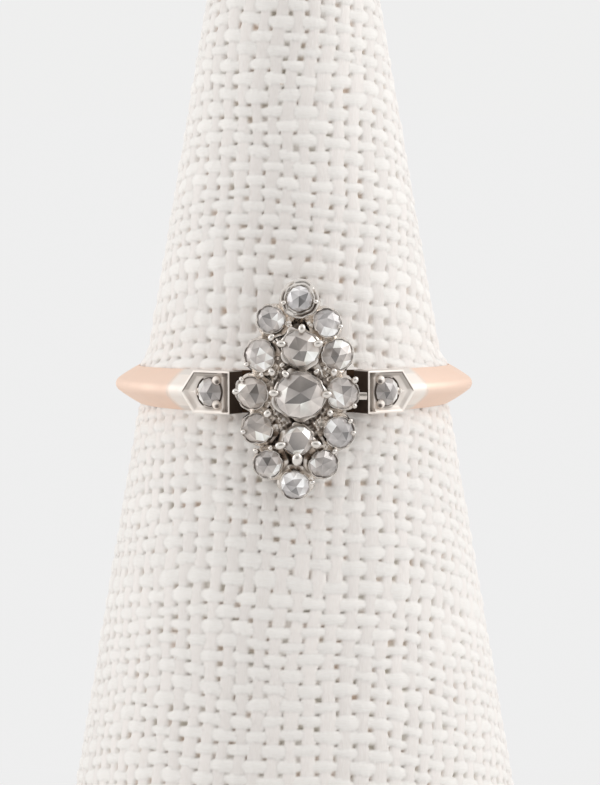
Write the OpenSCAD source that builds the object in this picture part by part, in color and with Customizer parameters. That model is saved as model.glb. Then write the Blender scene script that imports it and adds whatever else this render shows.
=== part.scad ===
// Marquise-shaped cluster ring of rose-cut diamonds in white metal on a rose gold shank,
// standing on a linen-covered cone.
// Origin at the centre of the cone's base, +Z up the cone, the cluster facing -Y.
// The cluster has a frame of its own: x to the right, y up, z outwards from the ring's axis.

/* [Shank] */
// Radius of the bore, where the finger goes
bore_r = 8.5; // [8.3:0.05:8.6]
// Radius over the knife edge of the shank
ridge_r = 9.8; // [9.6:0.05:10]
// Radius of the rounded knife edge
ridge_round = 0.3; // [0.2:0.05:0.4]
// Width of the shank at the shoulders
shank_w = 2.3; // [2.2:0.05:2.5]
// Width of the shank at the back
shank_back_w = 1.7; // [1.4:0.1:2]
// Thickness of the plain band under the white metal
band_t = 0.5; // [0.4:0.05:0.6]

/* [Pose on the cone] */
// How far the ring is turned about the cone, the cluster towards +X
ring_turn = 1.6; // [-10:0.2:10]
// How far the cluster leans on the shank, its top towards +X
head_lean = 1.5; // [-4:0.5:4]

/* [Shoulders] */
// Angle from the front to the middle of a shoulder's plate
plate_angle = 30; // [29:0.2:31]
// Distance from the ring's axis to the rim of that plate
plate_r = 10; // [9.9:0.05:10.2]
// Extra slope of the plate towards the back of the ring
plate_tilt = 4.6; // [2:0.2:6]
// Length of the plate from the cluster to its point
plate_len = 3.16; // [3:0.02:3.2]
// Length of the pointed end of the plate
plate_point = 0.84; // [0.7:0.02:0.9]
// Width of the plate
plate_w = 2.28; // [2.2:0.02:2.3]
// Thickness of the raised rim
plate_rim = 0.16; // [0.12:0.02:0.2]
// Angle from the front where the white metal ends and the gold starts
white_end = 45.4; // [44:0.2:48]
// Diameter of a shoulder stone
shoulder_stone_d = 1.5; // [1.4:0.02:1.56]

/* [Cluster] */
// Distance from the ring's axis to the girdles of the outer stones
outer_lift = 11.05; // [10.9:0.05:11.2]
// Distance from the ring's axis to the girdles of the inner stones
inner_lift = 11.85; // [11.7:0.05:12]
// Height of the stones' girdle edge
girdle_t = 0.08; // [0.06:0.01:0.1]
// Height of the ring of star facets, as a share of the stone's radius
crown_rise = 0.34; // [0.3:0.01:0.38]
// Thickness of the metal round a stone
collet_wall = 0.15; // [0.12:0.01:0.18]
// Underside of the plate that carries the collets, from the ring's axis
gallery_z = 9.55; // [9.5:0.01:9.6]
// Thickness of that plate
gallery_t = 0.4; // [0.3:0.05:0.5]
// Length of that plate
gallery_len = 11.0; // [10.6:0.1:11.2]
// Width of that plate
gallery_w = 5.2; // [4.8:0.1:5.4]

/* [Cone] */
// Height of the ring's middle above the cone's base
ring_z = 45; // [40:1:50]
// Radius of the linen at that height
cone_r = 8.37; // [8.2:0.01:8.4]
// How much the radius shrinks for each millimetre of height
cone_slope = 0.17; // [0.16:0.005:0.18]
// Radius of the rounded tip
tip_r = 4; // [3:0.5:5]
// Thickness of the linen
linen_t = 1; // [0.8:0.1:1.2]

/* [Hidden] */
// Columns of the table of stones: place, size and tilt in the cluster's frame, then the turn of the
// facets, the shift of the apex and the size of the star as shares of the radius, and the wall round it.
NAME = 0;
X = 1;
Y = 2;
DIAMETER = 3;
LIFT = 4;
TILT = 5;
TURN = 6;
SHIFT_X = 7;
SHIFT_Y = 8;
STAR = 9;
PEAK = 10;
WALL = 11;
// Outward tilt of the outer stones
outer_tilt = 13;
STONES = [
    ["stone_centre", 0, 0, 2.50, inner_lift, 0, 32, 0.00, 0.14, 0.62, 0.20, collet_wall],
    ["stone_inner_top", -0.03, 2.47, 1.90, inner_lift, 0, 50, -0.05, 0.02, 0.60, 0.20, collet_wall],
    ["stone_inner_bottom", -0.04, -2.39, 1.50, inner_lift, 0, 8, 0.00, 0.00, 0.68, 0.00, collet_wall],
    ["stone_1", -0.13, 5.05, 1.36, outer_lift, 17, 20, 0.05, 0.10, 0.62, 0.20, 0.40],
    ["stone_2", 1.37, 3.82, 1.47, outer_lift, outer_tilt, 75, -0.05, 0.10, 0.60, 0.20, collet_wall],
    ["stone_3", 1.95, 2.15, 1.62, outer_lift, outer_tilt, 10, 0.05, 0.00, 0.55, 0.22, collet_wall],
    ["stone_4", 2.26, 0.11, 1.66, outer_lift, outer_tilt, 40, -0.08, -0.05, 0.60, 0.20, collet_wall],
    ["stone_5", 2.15, -1.95, 1.60, outer_lift, outer_tilt, 65, 0.08, 0.05, 0.58, 0.20, collet_wall],
    ["stone_6", 1.36, -3.65, 1.47, outer_lift, outer_tilt, 25, -0.05, 0.05, 0.62, 0.22, collet_wall],
    ["stone_7", -0.13, -4.79, 1.50, outer_lift, outer_tilt, 52, 0.02, 0.02, 0.60, 0.20, 0.18],
    ["stone_8", -1.58, -3.72, 1.45, outer_lift, outer_tilt, 5, -0.10, 0.05, 0.64, 0.18, collet_wall],
    ["stone_9", -2.21, -1.85, 1.56, outer_lift, outer_tilt, 33, 0.05, 0.02, 0.60, 0.20, collet_wall],
    ["stone_10", -2.52, 0.03, 1.66, outer_lift, outer_tilt, 58, 0.15, 0.00, 0.62, 0.18, collet_wall],
    ["stone_11", -2.15, 2.02, 1.60, outer_lift, outer_tilt, 80, 0.00, 0.02, 0.58, 0.22, collet_wall],
    ["stone_12", -1.62, 3.92, 1.42, outer_lift, outer_tilt, 45, 0.10, -0.02, 0.60, 0.20, collet_wall]
];

// Columns of the table of beads: place in the cluster's frame, radius, and the stone whose height it takes.
BEAD_X = 0;
BEAD_Y = 1;
BEAD_R = 2;
BEAD_STONE = 3;
BEADS = [
    [0.01, 3.52, 0.20, 1],
    [-1.07, 2.70, 0.20, 1],
    [0.90, 2.75, 0.20, 1],
    [-0.80, 1.12, 0.18, 0],
    [-1.40, 0.10, 0.21, 0],
    [1.42, 0.09, 0.21, 0],
    [-0.98, -2.65, 0.22, 2],
    [0.92, -2.55, 0.22, 2],
    [-0.07, -3.38, 0.28, 2],
    [-1.55, 3.01, 0.19, 13],
    [-1.47, 1.14, 0.21, 13],
    [-1.65, -0.99, 0.22, 11],
    [1.75, 1.20, 0.20, 5],
    [1.60, -0.90, 0.18, 7],
    [-3.17, 0.80, 0.18, 12],
    [-3.42, 0.07, 0.20, 12],
    [3.00, 0.92, 0.20, 6],
    [3.01, -0.60, 0.17, 6],
    [2.80, -1.28, 0.17, 7],
    [2.98, -1.98, 0.18, 7],
    [-2.99, -2.07, 0.17, 11],
    [1.97, -2.89, 0.17, 8],
    [-2.34, -2.95, 0.17, 10],
    [1.17, -4.70, 0.17, 9],
    [-2.93, 1.45, 0.17, 13],
    [-0.98, 4.75, 0.16, 3],
    [0.72, 4.90, 0.16, 3],
    [2.15, 3.62, 0.16, 4]
];

// Clearance between a stone and its seat, and between two metals
seat_gap = 0.025;
metal_gap = 0.02;
// Clearance between the bore and the linen
bore_gap = 0.03;
// Height of a collet's rim above its stone's girdle
rim_rise = 0.05;
// Height of a bead's middle above the girdle
bead_rise = 0.16;
// A collet's foot, as a share of its stone's radius, and a claw, as a share of its bead's
foot_share = 0.62;
claw_share = 0.75;
// Sides of a stone's girdle and of its ring of star facets
girdle_sides = 12;
star_sides = 6;
// Unevenness of the hand-cut star facets
star_wobble = 0.09;
// How far a cutting solid passes what it cuts
over = 1;
// Longer than the ring is wide
reach = 30;
// Segments of the rounded profiles
arc_steps = 10;
// Fineness of whole circles
$fn = 96;

// Slope of the cone's side, and the height of the centre of its rounded tip
cone_angle = atan(cone_slope);
tip_z = ring_z + (cone_r - tip_r / cos(cone_angle)) / cone_slope;
// Radius over the plain band
band_r = bore_r + band_t;
// Small round between the bore and the flanks, and the flanks' bulge
edge_break = 0.06;
flank_bulge = 0.05;
// Angle from the front where the white metal starts
white_start = 21.2;
// A shoulder's stone lies a little off the middle of its plate and below the rim, in a deeper pocket
plate_stone_x = -0.23;
shoulder_seat_depth = 0.12;
pocket_depth = 0.45;
// Place and radius of a shoulder's beads, the place as shares of its stone's radius
shoulder_bead_x = -0.62;
shoulder_bead_y = 0.86;
shoulder_bead_r = 0.18;
// A stone's flat back, as a share of its radius
back_share = 0.97;
// Room over a stone's crown: its radius at the top of the slope and above it, as shares of the stone's
room_slope_share = 0.66;
room_top_share = 0.6;
// Margin of the linen's groove below the ring, and the length of its lower slope
groove_margin = 0.15;
groove_slope = 0.2;
// How an inset moves the corners of a plate's pointed end
point_share = norm([plate_point, plate_w / 2]) / (plate_w / 2);
eave_share = point_share - plate_point / (plate_w / 2);
// Pedestal under the gallery plate, and the bar from it to the right shoulder
pedestal_size = [3.8, 1.5, gallery_z + gallery_t / 2 - bore_r];
strut_size = [2.2, 0.42, 0.4];
strut_place = [1.5, -0.1, band_r + 0.08];
// The linen starts a little above the surface that the cone stands on
linen_foot = 0.4;

// Points of an arc about a centre, from one angle to another
function arc(cx, cy, r, from, to, steps) =
    [for (i = [0 : steps]) let (a = from + (to - from) * i / steps) [cx + r * cos(a), cy + r * sin(a)]];

// Half of the shank's section, from the bore to the knife edge: a slightly convex flank and a round crown
function flank(half_w) =
    let (
        lean = atan((half_w - ridge_round) / (ridge_r - ridge_round - bore_r)),
        top = [ridge_r - ridge_round + ridge_round * sin(lean), ridge_round * cos(lean)],
        foot = [bore_r + edge_break, half_w],
        mid = (top + foot) / 2 + flank_bulge * [sin(lean), cos(lean)]
    )
    concat(
        [[bore_r, half_w - edge_break]],
        [for (i = [0 : arc_steps]) let (t = i / arc_steps)
            (1 - t) * (1 - t) * foot + 2 * t * (1 - t) * mid + t * t * top],
        [for (i = [1 : arc_steps / 2]) let (a = (90 - lean) * (1 - 2 * i / arc_steps))
            [ridge_r - ridge_round + ridge_round * cos(a), ridge_round * sin(a)]]
    );

// The way in which an outer stone tilts: outwards, square to the oval of the cluster
function tilt_way(s) =
    let (d = [s[X] / (gallery_w * gallery_w), s[Y] / (gallery_len * gallery_len)])
    norm(d) == 0 ? [0, 1] : d / norm(d);

// Height of a stone's girdle plane at a place in the cluster's frame
function girdle_z(s, x, y) =
    s[LIFT] - tan(s[TILT]) * ([x - s[X], y - s[Y]] * tilt_way(s));

// The whole section of the shank, mirrored about its middle
module shank_section() {
    half = flank(shank_w / 2);
    polygon(concat(half, [for (i = [len(half) - 2 : -1 : 0]) [half[i][0], -half[i][1]]]));
}

// Two sloping faces that narrow the shank towards its back
module shank_taper() {
    rotate([90, 0, 90])
        translate([0, 0, -reach / 2])
            linear_extrude(reach)
                polygon([
                    [-ridge_r, shank_w / 2],
                    [ridge_r, shank_back_w / 2],
                    [ridge_r, -shank_back_w / 2],
                    [-ridge_r, -shank_w / 2]
                ]);
}

module shank_body() {
    intersection() {
        rotate_extrude() shank_section();
        shank_taper();
    }
}

// Moves a child from the cluster's frame, or a shoulder's plate, into the ring's place on the cone
module on_ring() {
    translate([0, 0, ring_z]) rotate([0, 0, ring_turn]) children();
}

module on_head() {
    on_ring() rotate([0, head_lean, 0]) rotate([90, 0, 0]) children();
}

// The frame of a shoulder's plate: x along the ring away from the cluster, y up, z outwards
module on_plate(side) {
    on_ring() mirror([side < 0 ? 1 : 0, 0, 0])
        rotate([0, 0, plate_angle])
            translate([0, -plate_r, 0])
                rotate([90, 0, 0])
                    rotate([0, plate_tilt, 0])
                        children();
}

// The stretch that the white metal covers, seen along the ring's axis: from a line by the cluster, square to
// the plate, to a line through the axis. Seen from the front that far end looks like a chevron.
module white_reach(side, grow) {
    out = [sin(plate_angle), -cos(plate_angle)];
    along = [cos(plate_angle), sin(plate_angle)];
    end_out = [sin(white_end), -cos(white_end)];
    end_along = [cos(white_end), sin(white_end)];
    start = -(ridge_r * tan(plate_angle - white_start) + grow) * along;
    mirror([side < 0 ? 1 : 0, 0, 0])
        linear_extrude(2 * shank_w, center = true)
            polygon([start, start + reach * out, grow * end_along + reach * end_out, grow * end_along]);
}

// The plain band takes the place of the knife edge under all of the white metal
module white_bed() {
    difference() {
        union() {
            for (side = [-1, 1]) white_reach(side, metal_gap);
            rotate([90, 0, 0]) linear_extrude(reach)
                square([2 * ridge_r * sin(white_start + 2), 2 * shank_w], center = true);
        }
        cylinder(h = reach, r = band_r, center = true);
    }
}

module shank() {
    color([0.93, 0.76, 0.66])
        on_ring()
            difference() {
                shank_body();
                white_bed();
            }
}

// Outline of a shoulder's plate, house-shaped with its point away from the cluster. An inset moves
// each side in by the same amount, so the corners take their own shares of it.
module plate_outline(inset) {
    half_l = plate_len / 2;
    half_w = plate_w / 2 - inset;
    polygon([
        [-half_l + inset, -half_w],
        [half_l - plate_point - inset * eave_share, -half_w],
        [half_l - inset * point_share, 0],
        [half_l - plate_point - inset * eave_share, half_w],
        [-half_l + inset, half_w]
    ]);
}

module shoulder_seat() {
    r = shoulder_stone_d / 2;
    translate([plate_stone_x, 0, -pocket_depth - metal_gap])
        cylinder(h = pocket_depth - shoulder_seat_depth + rim_rise, r = r + collet_wall);
}

module shoulder_beads() {
    r = shoulder_stone_d / 2;
    for (way = [-1, 1])
        translate([
            plate_stone_x + r * shoulder_bead_x,
            way * r * shoulder_bead_y,
            -shoulder_seat_depth + bead_rise / 2
        ])
            sphere(r = shoulder_bead_r, $fn = 32);
}

module shoulder(side) {
    r = shoulder_stone_d / 2;
    color([0.83, 0.83, 0.82])
        difference() {
            union() {
                on_ring() difference() {
                    intersection() {
                        shank_body();
                        white_reach(side, 0);
                    }
                    cylinder(h = reach, r = band_r + metal_gap, center = true);
                }
                difference() {
                    on_plate(side) union() {
                        difference() {
                            translate([0, 0, -over]) linear_extrude(over) plate_outline(0);
                            translate([0, 0, -pocket_depth]) linear_extrude(over) plate_outline(plate_rim);
                        }
                        shoulder_seat();
                        shoulder_beads();
                    }
                    on_ring() cylinder(h = reach, r = band_r + metal_gap, center = true);
                }
            }
            on_plate(side) translate([plate_stone_x, 0, -shoulder_seat_depth])
                stone_room(r);
        }
}

module shoulder_left() {
    shoulder(-1);
}

module shoulder_right() {
    shoulder(1);
}

// Room for a stone in its seat: a straight hole to the girdle and a cone over the crown
module stone_room(r) {
    room = r + seat_gap;
    star_z = crown_rise * r;
    translate([0, 0, -girdle_t - seat_gap]) cylinder(h = girdle_t + seat_gap + over / 100, r = room);
    cylinder(h = star_z + 3 * seat_gap, r1 = room, r2 = r * room_slope_share);
    translate([0, 0, star_z]) cylinder(h = over, r = r * room_top_share);
}

// Moves a child into the frame of one stone of the cluster
module at_stone(s) {
    way = tilt_way(s);
    translate([s[X], s[Y], s[LIFT]])
        rotate(a = s[TILT], v = [-way[1], way[0], 0])
            children();
}

// Height from a stone's girdle down its tilted axis to the middle of the gallery plate
function collet_drop(s) = (s[LIFT] - gallery_z - gallery_t / 2) / cos(s[TILT]);

module collet(s) {
    r = s[DIAMETER] / 2;
    drop = collet_drop(s);
    at_stone(s) translate([0, 0, -drop])
        cylinder(h = drop + rim_rise, r1 = r * foot_share, r2 = r + s[WALL]);
}

// A bead on its own claw, which leans against the collet and stands on the gallery plate
module bead(b) {
    s = STONES[b[BEAD_STONE]];
    foot_z = gallery_z + gallery_t / 2;
    from_stone = [b[BEAD_X] - s[X], b[BEAD_Y] - s[Y]];
    foot_xy = [s[X], s[Y]] - tilt_way(s) * sin(s[TILT]) * collet_drop(s) + from_stone * foot_share;
    top = [b[BEAD_X], b[BEAD_Y], girdle_z(s, b[BEAD_X], b[BEAD_Y]) + bead_rise];
    rise = top - [foot_xy[0], foot_xy[1], foot_z];
    translate(top) sphere(r = b[BEAD_R], $fn = 32);
    translate([foot_xy[0], foot_xy[1], foot_z])
        rotate([0, acos(rise[2] / norm(rise)), atan2(rise[1], rise[0])])
            cylinder(h = norm(rise), r = b[BEAD_R] * claw_share, $fn = 24);
}

// Pointed oval plate under the collets
module gallery() {
    half_l = gallery_len / 2;
    half_w = gallery_w / 2;
    r = (half_l * half_l + half_w * half_w) / (2 * half_w);
    translate([0, 0, gallery_z]) linear_extrude(gallery_t)
        intersection() {
            translate([r - half_w, 0]) circle(r);
            translate([half_w - r, 0]) circle(r);
        }
}

// Block between the plain band and the gallery plate
module pedestal() {
    difference() {
        translate([0, 0, bore_r + pedestal_size[2] / 2]) cube(pedestal_size, center = true);
        rotate([90, 0, 0]) cylinder(h = reach, r = band_r + metal_gap, center = true);
    }
}

// Short bar from the pedestal to the wall of the right shoulder
module strut() {
    translate(strut_place - [0, strut_size[1] / 2, 0]) cube(strut_size);
}

module head() {
    color([0.86, 0.86, 0.85])
        difference() {
            on_head() difference() {
                union() {
                    gallery();
                    pedestal();
                    strut();
                    for (s = STONES) collet(s);
                    for (b = BEADS) bead(b);
                }
                for (s = STONES) at_stone(s) stone_room(s[DIAMETER] / 2);
            }
            on_plate(1) translate([0, 0, -over]) linear_extrude(over) plate_outline(-metal_gap);
        }
}

// Rose-cut stone: a flat back, a thin girdle, cross facets up to a ring of star facets and an apex
module rose_cut(r, turn, shift, star, peak) {
    ring = [for (i = [0 : girdle_sides - 1]) let (a = turn + i * 360 / girdle_sides) [cos(a), sin(a)]];
    stars = [for (i = [0 : star_sides - 1])
        let (a = turn + i * 360 / star_sides, q = star * (1 + star_wobble * sin(2.3 * a + 40 * i)))
        q * [cos(a), sin(a)] + shift / 2];
    points = concat(
        [for (p = ring) [p[0] * r * back_share, p[1] * r * back_share, -girdle_t]],
        [for (p = ring) [p[0] * r, p[1] * r, 0]],
        [for (p = stars) [p[0] * r, p[1] * r, crown_rise * r]],
        [[shift[0] * r, shift[1] * r, (crown_rise + peak) * r]]
    );
    g = girdle_sides;
    apex = 2 * g + star_sides;
    faces = concat(
        [[for (i = [0 : g - 1]) i]],
        [for (i = [0 : g - 1]) [i, g + i, g + (i + 1) % g, (i + 1) % g]],
        [for (k = [0 : star_sides - 1]) [g + 2 * k, 2 * g + k, g + 2 * k + 1]],
        [for (k = [0 : star_sides - 1]) [2 * g + k, 2 * g + (k + 1) % star_sides, g + 2 * k + 1]],
        [for (k = [0 : star_sides - 1])
            [2 * g + (k + 1) % star_sides, g + (2 * k + 2) % g, g + 2 * k + 1]],
        peak > 0
            ? [for (k = [0 : star_sides - 1]) [2 * g + k, apex, 2 * g + (k + 1) % star_sides]]
            : [[for (k = [star_sides - 1 : -1 : 0]) 2 * g + k]]
    );
    polyhedron(points = peak > 0 ? points : [for (i = [0 : apex - 1]) points[i]], faces = faces);
}

module cluster_stone(s) {
    color([0.78, 0.79, 0.79])
        on_head() at_stone(s)
            rose_cut(s[DIAMETER] / 2, s[TURN], [s[SHIFT_X], s[SHIFT_Y]], s[STAR], s[PEAK]);
}

module shoulder_stone(side) {
    color([0.78, 0.79, 0.79])
        on_plate(side) translate([plate_stone_x, 0, -shoulder_seat_depth])
            rose_cut(shoulder_stone_d / 2, 15, [0.05, 0], 0.6, 0.2);
}

// Radius of the linen's outside, which the ring presses in under its bore
function linen_r(z) = cone_r + cone_slope * (ring_z - z);

// Profile of the cone, moved inwards by a depth, from its foot to its tip
function cone_profile(depth, foot, groove) =
    let (
        in = depth / cos(cone_angle),
        pressed = bore_r - bore_gap,
        groove_top = ring_z - (pressed - cone_r) / cone_slope,
        groove_foot = ring_z - shank_w / 2 - groove_margin
    )
    concat(
        [[linen_r(foot) - in, foot]],
        groove && groove_top > groove_foot ? [
            [linen_r(groove_foot - groove_slope), groove_foot - groove_slope],
            [pressed, groove_foot],
            [pressed, groove_top]
        ] : [],
        arc(0, tip_z, tip_r - depth, cone_angle, 90, arc_steps)
    );

module cone_core() {
    color([0.78, 0.66, 0.5])
        rotate_extrude()
            polygon(concat([[0, 0]], cone_profile(linen_t + metal_gap, 0, false)));
}

module linen_cover() {
    inner = cone_profile(linen_t, linen_foot, false);
    color([0.89, 0.87, 0.85])
        rotate_extrude()
            polygon(concat(
                cone_profile(0, linen_foot, true),
                [for (i = [len(inner) - 1 : -1 : 0]) inner[i]]
            ));
}

cone_core();
linen_cover();
shank();
shoulder_left();
shoulder_right();
head();
for (s = STONES) cluster_stone(s);
shoulder_stone(-1);  // shoulder_stone_left
shoulder_stone(1);  // shoulder_stone_right
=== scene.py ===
"""Dresses a diamond cluster ring, standing on a linen-covered display cone, for rendering.

Every shape is worked out in millimetres and put into its mesh in metres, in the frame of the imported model:
the origin at the foot of the cone, +Z up the cone and the cluster facing -Y. The cluster and each
shoulder's plate have a frame of their own: x to the right or away from the cluster, y up, z outwards from
the ring's axis.
"""

import logging
import math
from collections.abc import Callable, Sequence
from dataclasses import dataclass, field
from enum import Enum

import bmesh
import bpy
import numpy as np
from mathutils import Matrix, Vector


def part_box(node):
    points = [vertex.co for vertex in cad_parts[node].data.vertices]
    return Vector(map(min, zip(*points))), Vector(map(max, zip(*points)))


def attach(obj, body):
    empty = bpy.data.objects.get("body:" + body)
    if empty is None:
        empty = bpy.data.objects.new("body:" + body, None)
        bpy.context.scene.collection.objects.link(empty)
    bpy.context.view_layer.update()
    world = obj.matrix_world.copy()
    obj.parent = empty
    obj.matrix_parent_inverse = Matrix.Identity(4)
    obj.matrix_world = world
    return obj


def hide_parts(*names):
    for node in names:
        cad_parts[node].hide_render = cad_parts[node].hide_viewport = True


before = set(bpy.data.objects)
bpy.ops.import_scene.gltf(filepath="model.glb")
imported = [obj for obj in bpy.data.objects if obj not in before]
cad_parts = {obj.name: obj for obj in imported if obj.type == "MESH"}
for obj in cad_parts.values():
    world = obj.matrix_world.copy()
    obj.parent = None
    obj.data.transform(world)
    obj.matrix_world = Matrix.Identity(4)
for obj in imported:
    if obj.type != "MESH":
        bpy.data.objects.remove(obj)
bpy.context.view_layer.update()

LOG = logging.getLogger("ring_scene")
MM = 0.001
FULL_TURN = 2 * math.pi
ROSE_GOLD = (0.933, 0.756, 0.648)
GOLD_EDGE = (0.97, 0.80, 0.69)
WHITE_METAL = (0.85, 0.82, 0.785)
SATIN_METAL = (0.94, 0.89, 0.84)
TARNISH = (0.58, 0.45, 0.34)
Grid = np.ndarray
Colour = tuple[float, float, float]
Mesh = bpy.types.Mesh
Material = bpy.types.Material
Object = bpy.types.Object
Socket = bpy.types.NodeSocket
Uneven = Callable[[Grid, Grid, Grid], tuple[Grid, Grid]]


class Side(Enum):
    """The two shoulders, by the sign of their place along X."""

    LEFT = -1
    RIGHT = 1


class Yarn(Enum):
    """The two sets of threads of the linen."""

    WARP = "warp"
    WEFT = "weft"


# Moves and curves


def turned(axis: str, degrees: float) -> np.ndarray:
    """A 4 x 4 matrix that turns about "X", "Y" or "Z", anticlockwise seen from the axis's far end."""
    return np.array(Matrix.Rotation(math.radians(degrees), 4, axis))


def moved(x: float, y: float, z: float) -> np.ndarray:
    """A 4 x 4 matrix that moves by (x, y, z)."""
    return np.array(Matrix.Translation((x, y, z)))


def placed(matrix: np.ndarray, points: Grid) -> Grid:
    """The points, in an array whose last axis is (x, y, z), carried by a 4 x 4 matrix."""
    return points @ matrix[:3, :3].T + matrix[:3, 3]


def eased(value: Grid, low: float, high: float) -> Grid:
    """A smooth step from 0 at low to 1 at high, which may lie below it: 3t^2 - 2t^3 of the share t."""
    t = np.clip((value - low) / (high - low), 0, 1)
    return t * t * (3 - 2 * t)


def bell(away: Grid, width: float) -> Grid:
    """A bell curve: e to the minus square of the distance over the width."""
    return np.exp(-((away / width) ** 2))


def arc(centre: tuple[float, float], radius: float, start: float, end: float, steps: int) -> Grid:
    """Points of a circle's arc, (steps, 2), evenly spaced from one angle in degrees to another."""
    angle = np.radians(np.linspace(start, end, steps))
    return np.stack([centre[0] + radius * np.cos(angle), centre[1] + radius * np.sin(angle)], axis=1)


def polar(radius: Grid, angle: Grid, height: Grid) -> Grid:
    """Points (radius cos a, radius sin a, height), in an array whose last axis is (x, y, z)."""
    x, y = radius * np.cos(angle), radius * np.sin(angle)
    return np.stack([x, y, height + 0 * x], axis=-1)


# Shells and pieces


@dataclass
class Shell:
    """One closed skin of four-cornered faces, whose doubled points at seams and poles are merged later.

    Args:
        points: The points in millimetres, (n, 3).
        faces: The corners of each face, (m, 4).
    """

    points: Grid
    faces: Grid

    @classmethod
    def of_grid(cls, grid: Grid, wrap: bool = False) -> "Shell":
        """A grid of points as faces between its rows.

        Args:
            grid: The points, (rows, columns, 3).
            wrap: Whether the last column meets the first.

        Returns:
            The shell, open at its first and last row unless they shrink to poles.
        """
        rows, columns = grid.shape[:2]
        index = np.arange(rows * columns).reshape(rows, columns)
        if wrap:
            index = np.concatenate([index, index[:, :1]], axis=1)
        faces = np.stack([index[:-1, :-1], index[:-1, 1:], index[1:, 1:], index[1:, :-1]], axis=-1)
        return cls(grid.reshape(-1, 3), faces.reshape(-1, 4))

    @classmethod
    def joined(cls, shells: Sequence["Shell"]) -> "Shell":
        """Several shells as one, with their points' numbers moved on."""
        starts = np.cumsum([0] + [len(s.points) for s in shells[:-1]])
        faces = [s.faces + start for s, start in zip(shells, starts)]
        return cls(np.concatenate([s.points for s in shells]), np.concatenate(faces))

    @classmethod
    def slab(cls, top: Grid, bottom: Grid) -> "Shell":
        """A body between two grids of the same size: each row runs out along the top and back along the
        bottom as a closed loop, and faces from top to bottom close the first and the last row.

        Args:
            top: The points of the upper face, (rows, columns, 3).
            bottom: Those of the lower face.

        Returns:
            The closed shell.
        """
        loops = np.concatenate([top, bottom[:, ::-1]], axis=1)
        ends = [cls.of_grid(np.stack([top[row], bottom[row]])) for row in (0, -1)]
        return cls.joined([cls.of_grid(loops, wrap=True), *ends])

    @classmethod
    def revolved(cls, profile: Grid, steps: int, shape: Uneven | None = None) -> "Shell":
        """A profile carried round the z axis: (radius cos a, radius sin a, height).

        Args:
            profile: Pairs of radius and height, (rows, 2), from one pole to the other.
            steps: Columns round the axis.
            shape: What turns the radii, heights and angles of all points into uneven radii and heights.

        Returns:
            The closed shell.
        """
        angle = np.arange(steps)[None] * FULL_TURN / steps
        radius, height = (np.repeat(profile[:, i : i + 1], steps, axis=1) for i in (0, 1))
        if shape:
            radius, height = shape(radius, height, angle)
        return cls.of_grid(polar(radius, angle, height), wrap=True)

    def at(self, matrix: np.ndarray) -> "Shell":
        """The same shell, carried by a matrix."""
        return Shell(placed(matrix, self.points), self.faces)


@dataclass
class Piece:
    """A mesh object of the scene, with what goes into it.

    Args:
        name: The object's name.
        shells: Its skins, in millimetres.
        slot: The record's material slot. It is not used.
        replaces: The CAD nodes that it stands for.
        marks: A number for each point, by the name of the attribute that holds it.
        sharp: The angle in degrees past which an edge is sharp.
    """

    name: str
    shells: Sequence[Shell]
    slot: str
    replaces: Sequence[str]
    marks: dict[str, Grid]
    sharp: float

    # Distances in metres up to which points are one and an edge is nothing.
    MERGE = 2e-7
    SLIVER = 1e-7

    def build(self, material: Material) -> Object:
        """Makes the object, with its marks, its merged points and its sharp edges.

        Args:
            material: Its finish.

        Returns:
            The object.
        """
        shell = Shell.joined(list(self.shells))
        mesh = bpy.data.meshes.new(self.name)
        mesh.vertices.add(len(shell.points))
        mesh.loops.add(shell.faces.size)
        mesh.polygons.add(len(shell.faces))
        mesh.vertices.foreach_set("co", (shell.points * MM).astype(np.float32).ravel())
        mesh.loops.foreach_set("vertex_index", shell.faces.astype(np.int32).ravel())
        mesh.polygons.foreach_set("loop_start", np.arange(0, shell.faces.size, 4, dtype=np.int32))
        mesh.update(calc_edges=True)
        for name, values in self.marks.items():
            wide = values.ndim > 1
            layer = mesh.attributes.new(name, "FLOAT_VECTOR" if wide else "FLOAT", "POINT")
            layer.data.foreach_set("vector" if wide else "value", values.astype(np.float32).ravel())
        self.weld(mesh)
        mesh.polygons.foreach_set("use_smooth", np.ones(len(mesh.polygons), dtype=bool))
        mesh.set_sharp_from_angle(angle=math.radians(self.sharp))
        mesh.validate()
        return dressed(self.name, mesh, material, self.replaces)

    @classmethod
    def weld(cls, mesh: Mesh) -> None:
        """Merges doubled points, drops the faces that shrink to nothing and turns the rest outwards."""
        work = bmesh.new()
        work.from_mesh(mesh)
        bmesh.ops.remove_doubles(work, verts=work.verts, dist=cls.MERGE)
        bmesh.ops.dissolve_degenerate(work, edges=work.edges, dist=cls.SLIVER)
        bmesh.ops.recalc_face_normals(work, faces=work.faces)
        work.to_mesh(mesh)
        work.free()


def added(name: str, data: bpy.types.ID) -> Object:
    """A new object of the scene."""
    thing = bpy.data.objects.new(name, data)
    bpy.context.scene.collection.objects.link(thing)
    return thing


def dressed(name: str, mesh: Mesh, material: Material, replaces: Sequence[str]) -> Object:
    """Makes an object with its finish, rides it on the root body and reports it.

    Args:
        name: Its name.
        mesh: Its mesh.
        material: Its finish.
        replaces: The CAD nodes that it stands for.

    Returns:
        The object.
    """
    piece = added(name, mesh)
    mesh.materials.append(material)
    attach(piece, "root")
    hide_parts(*replaces)
    triangles = len(mesh.loops) - 2 * len(mesh.polygons)
    LOG.info("%s: %d points, %d triangles", name, len(mesh.vertices), triangles)
    return piece


# Finishes


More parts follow.
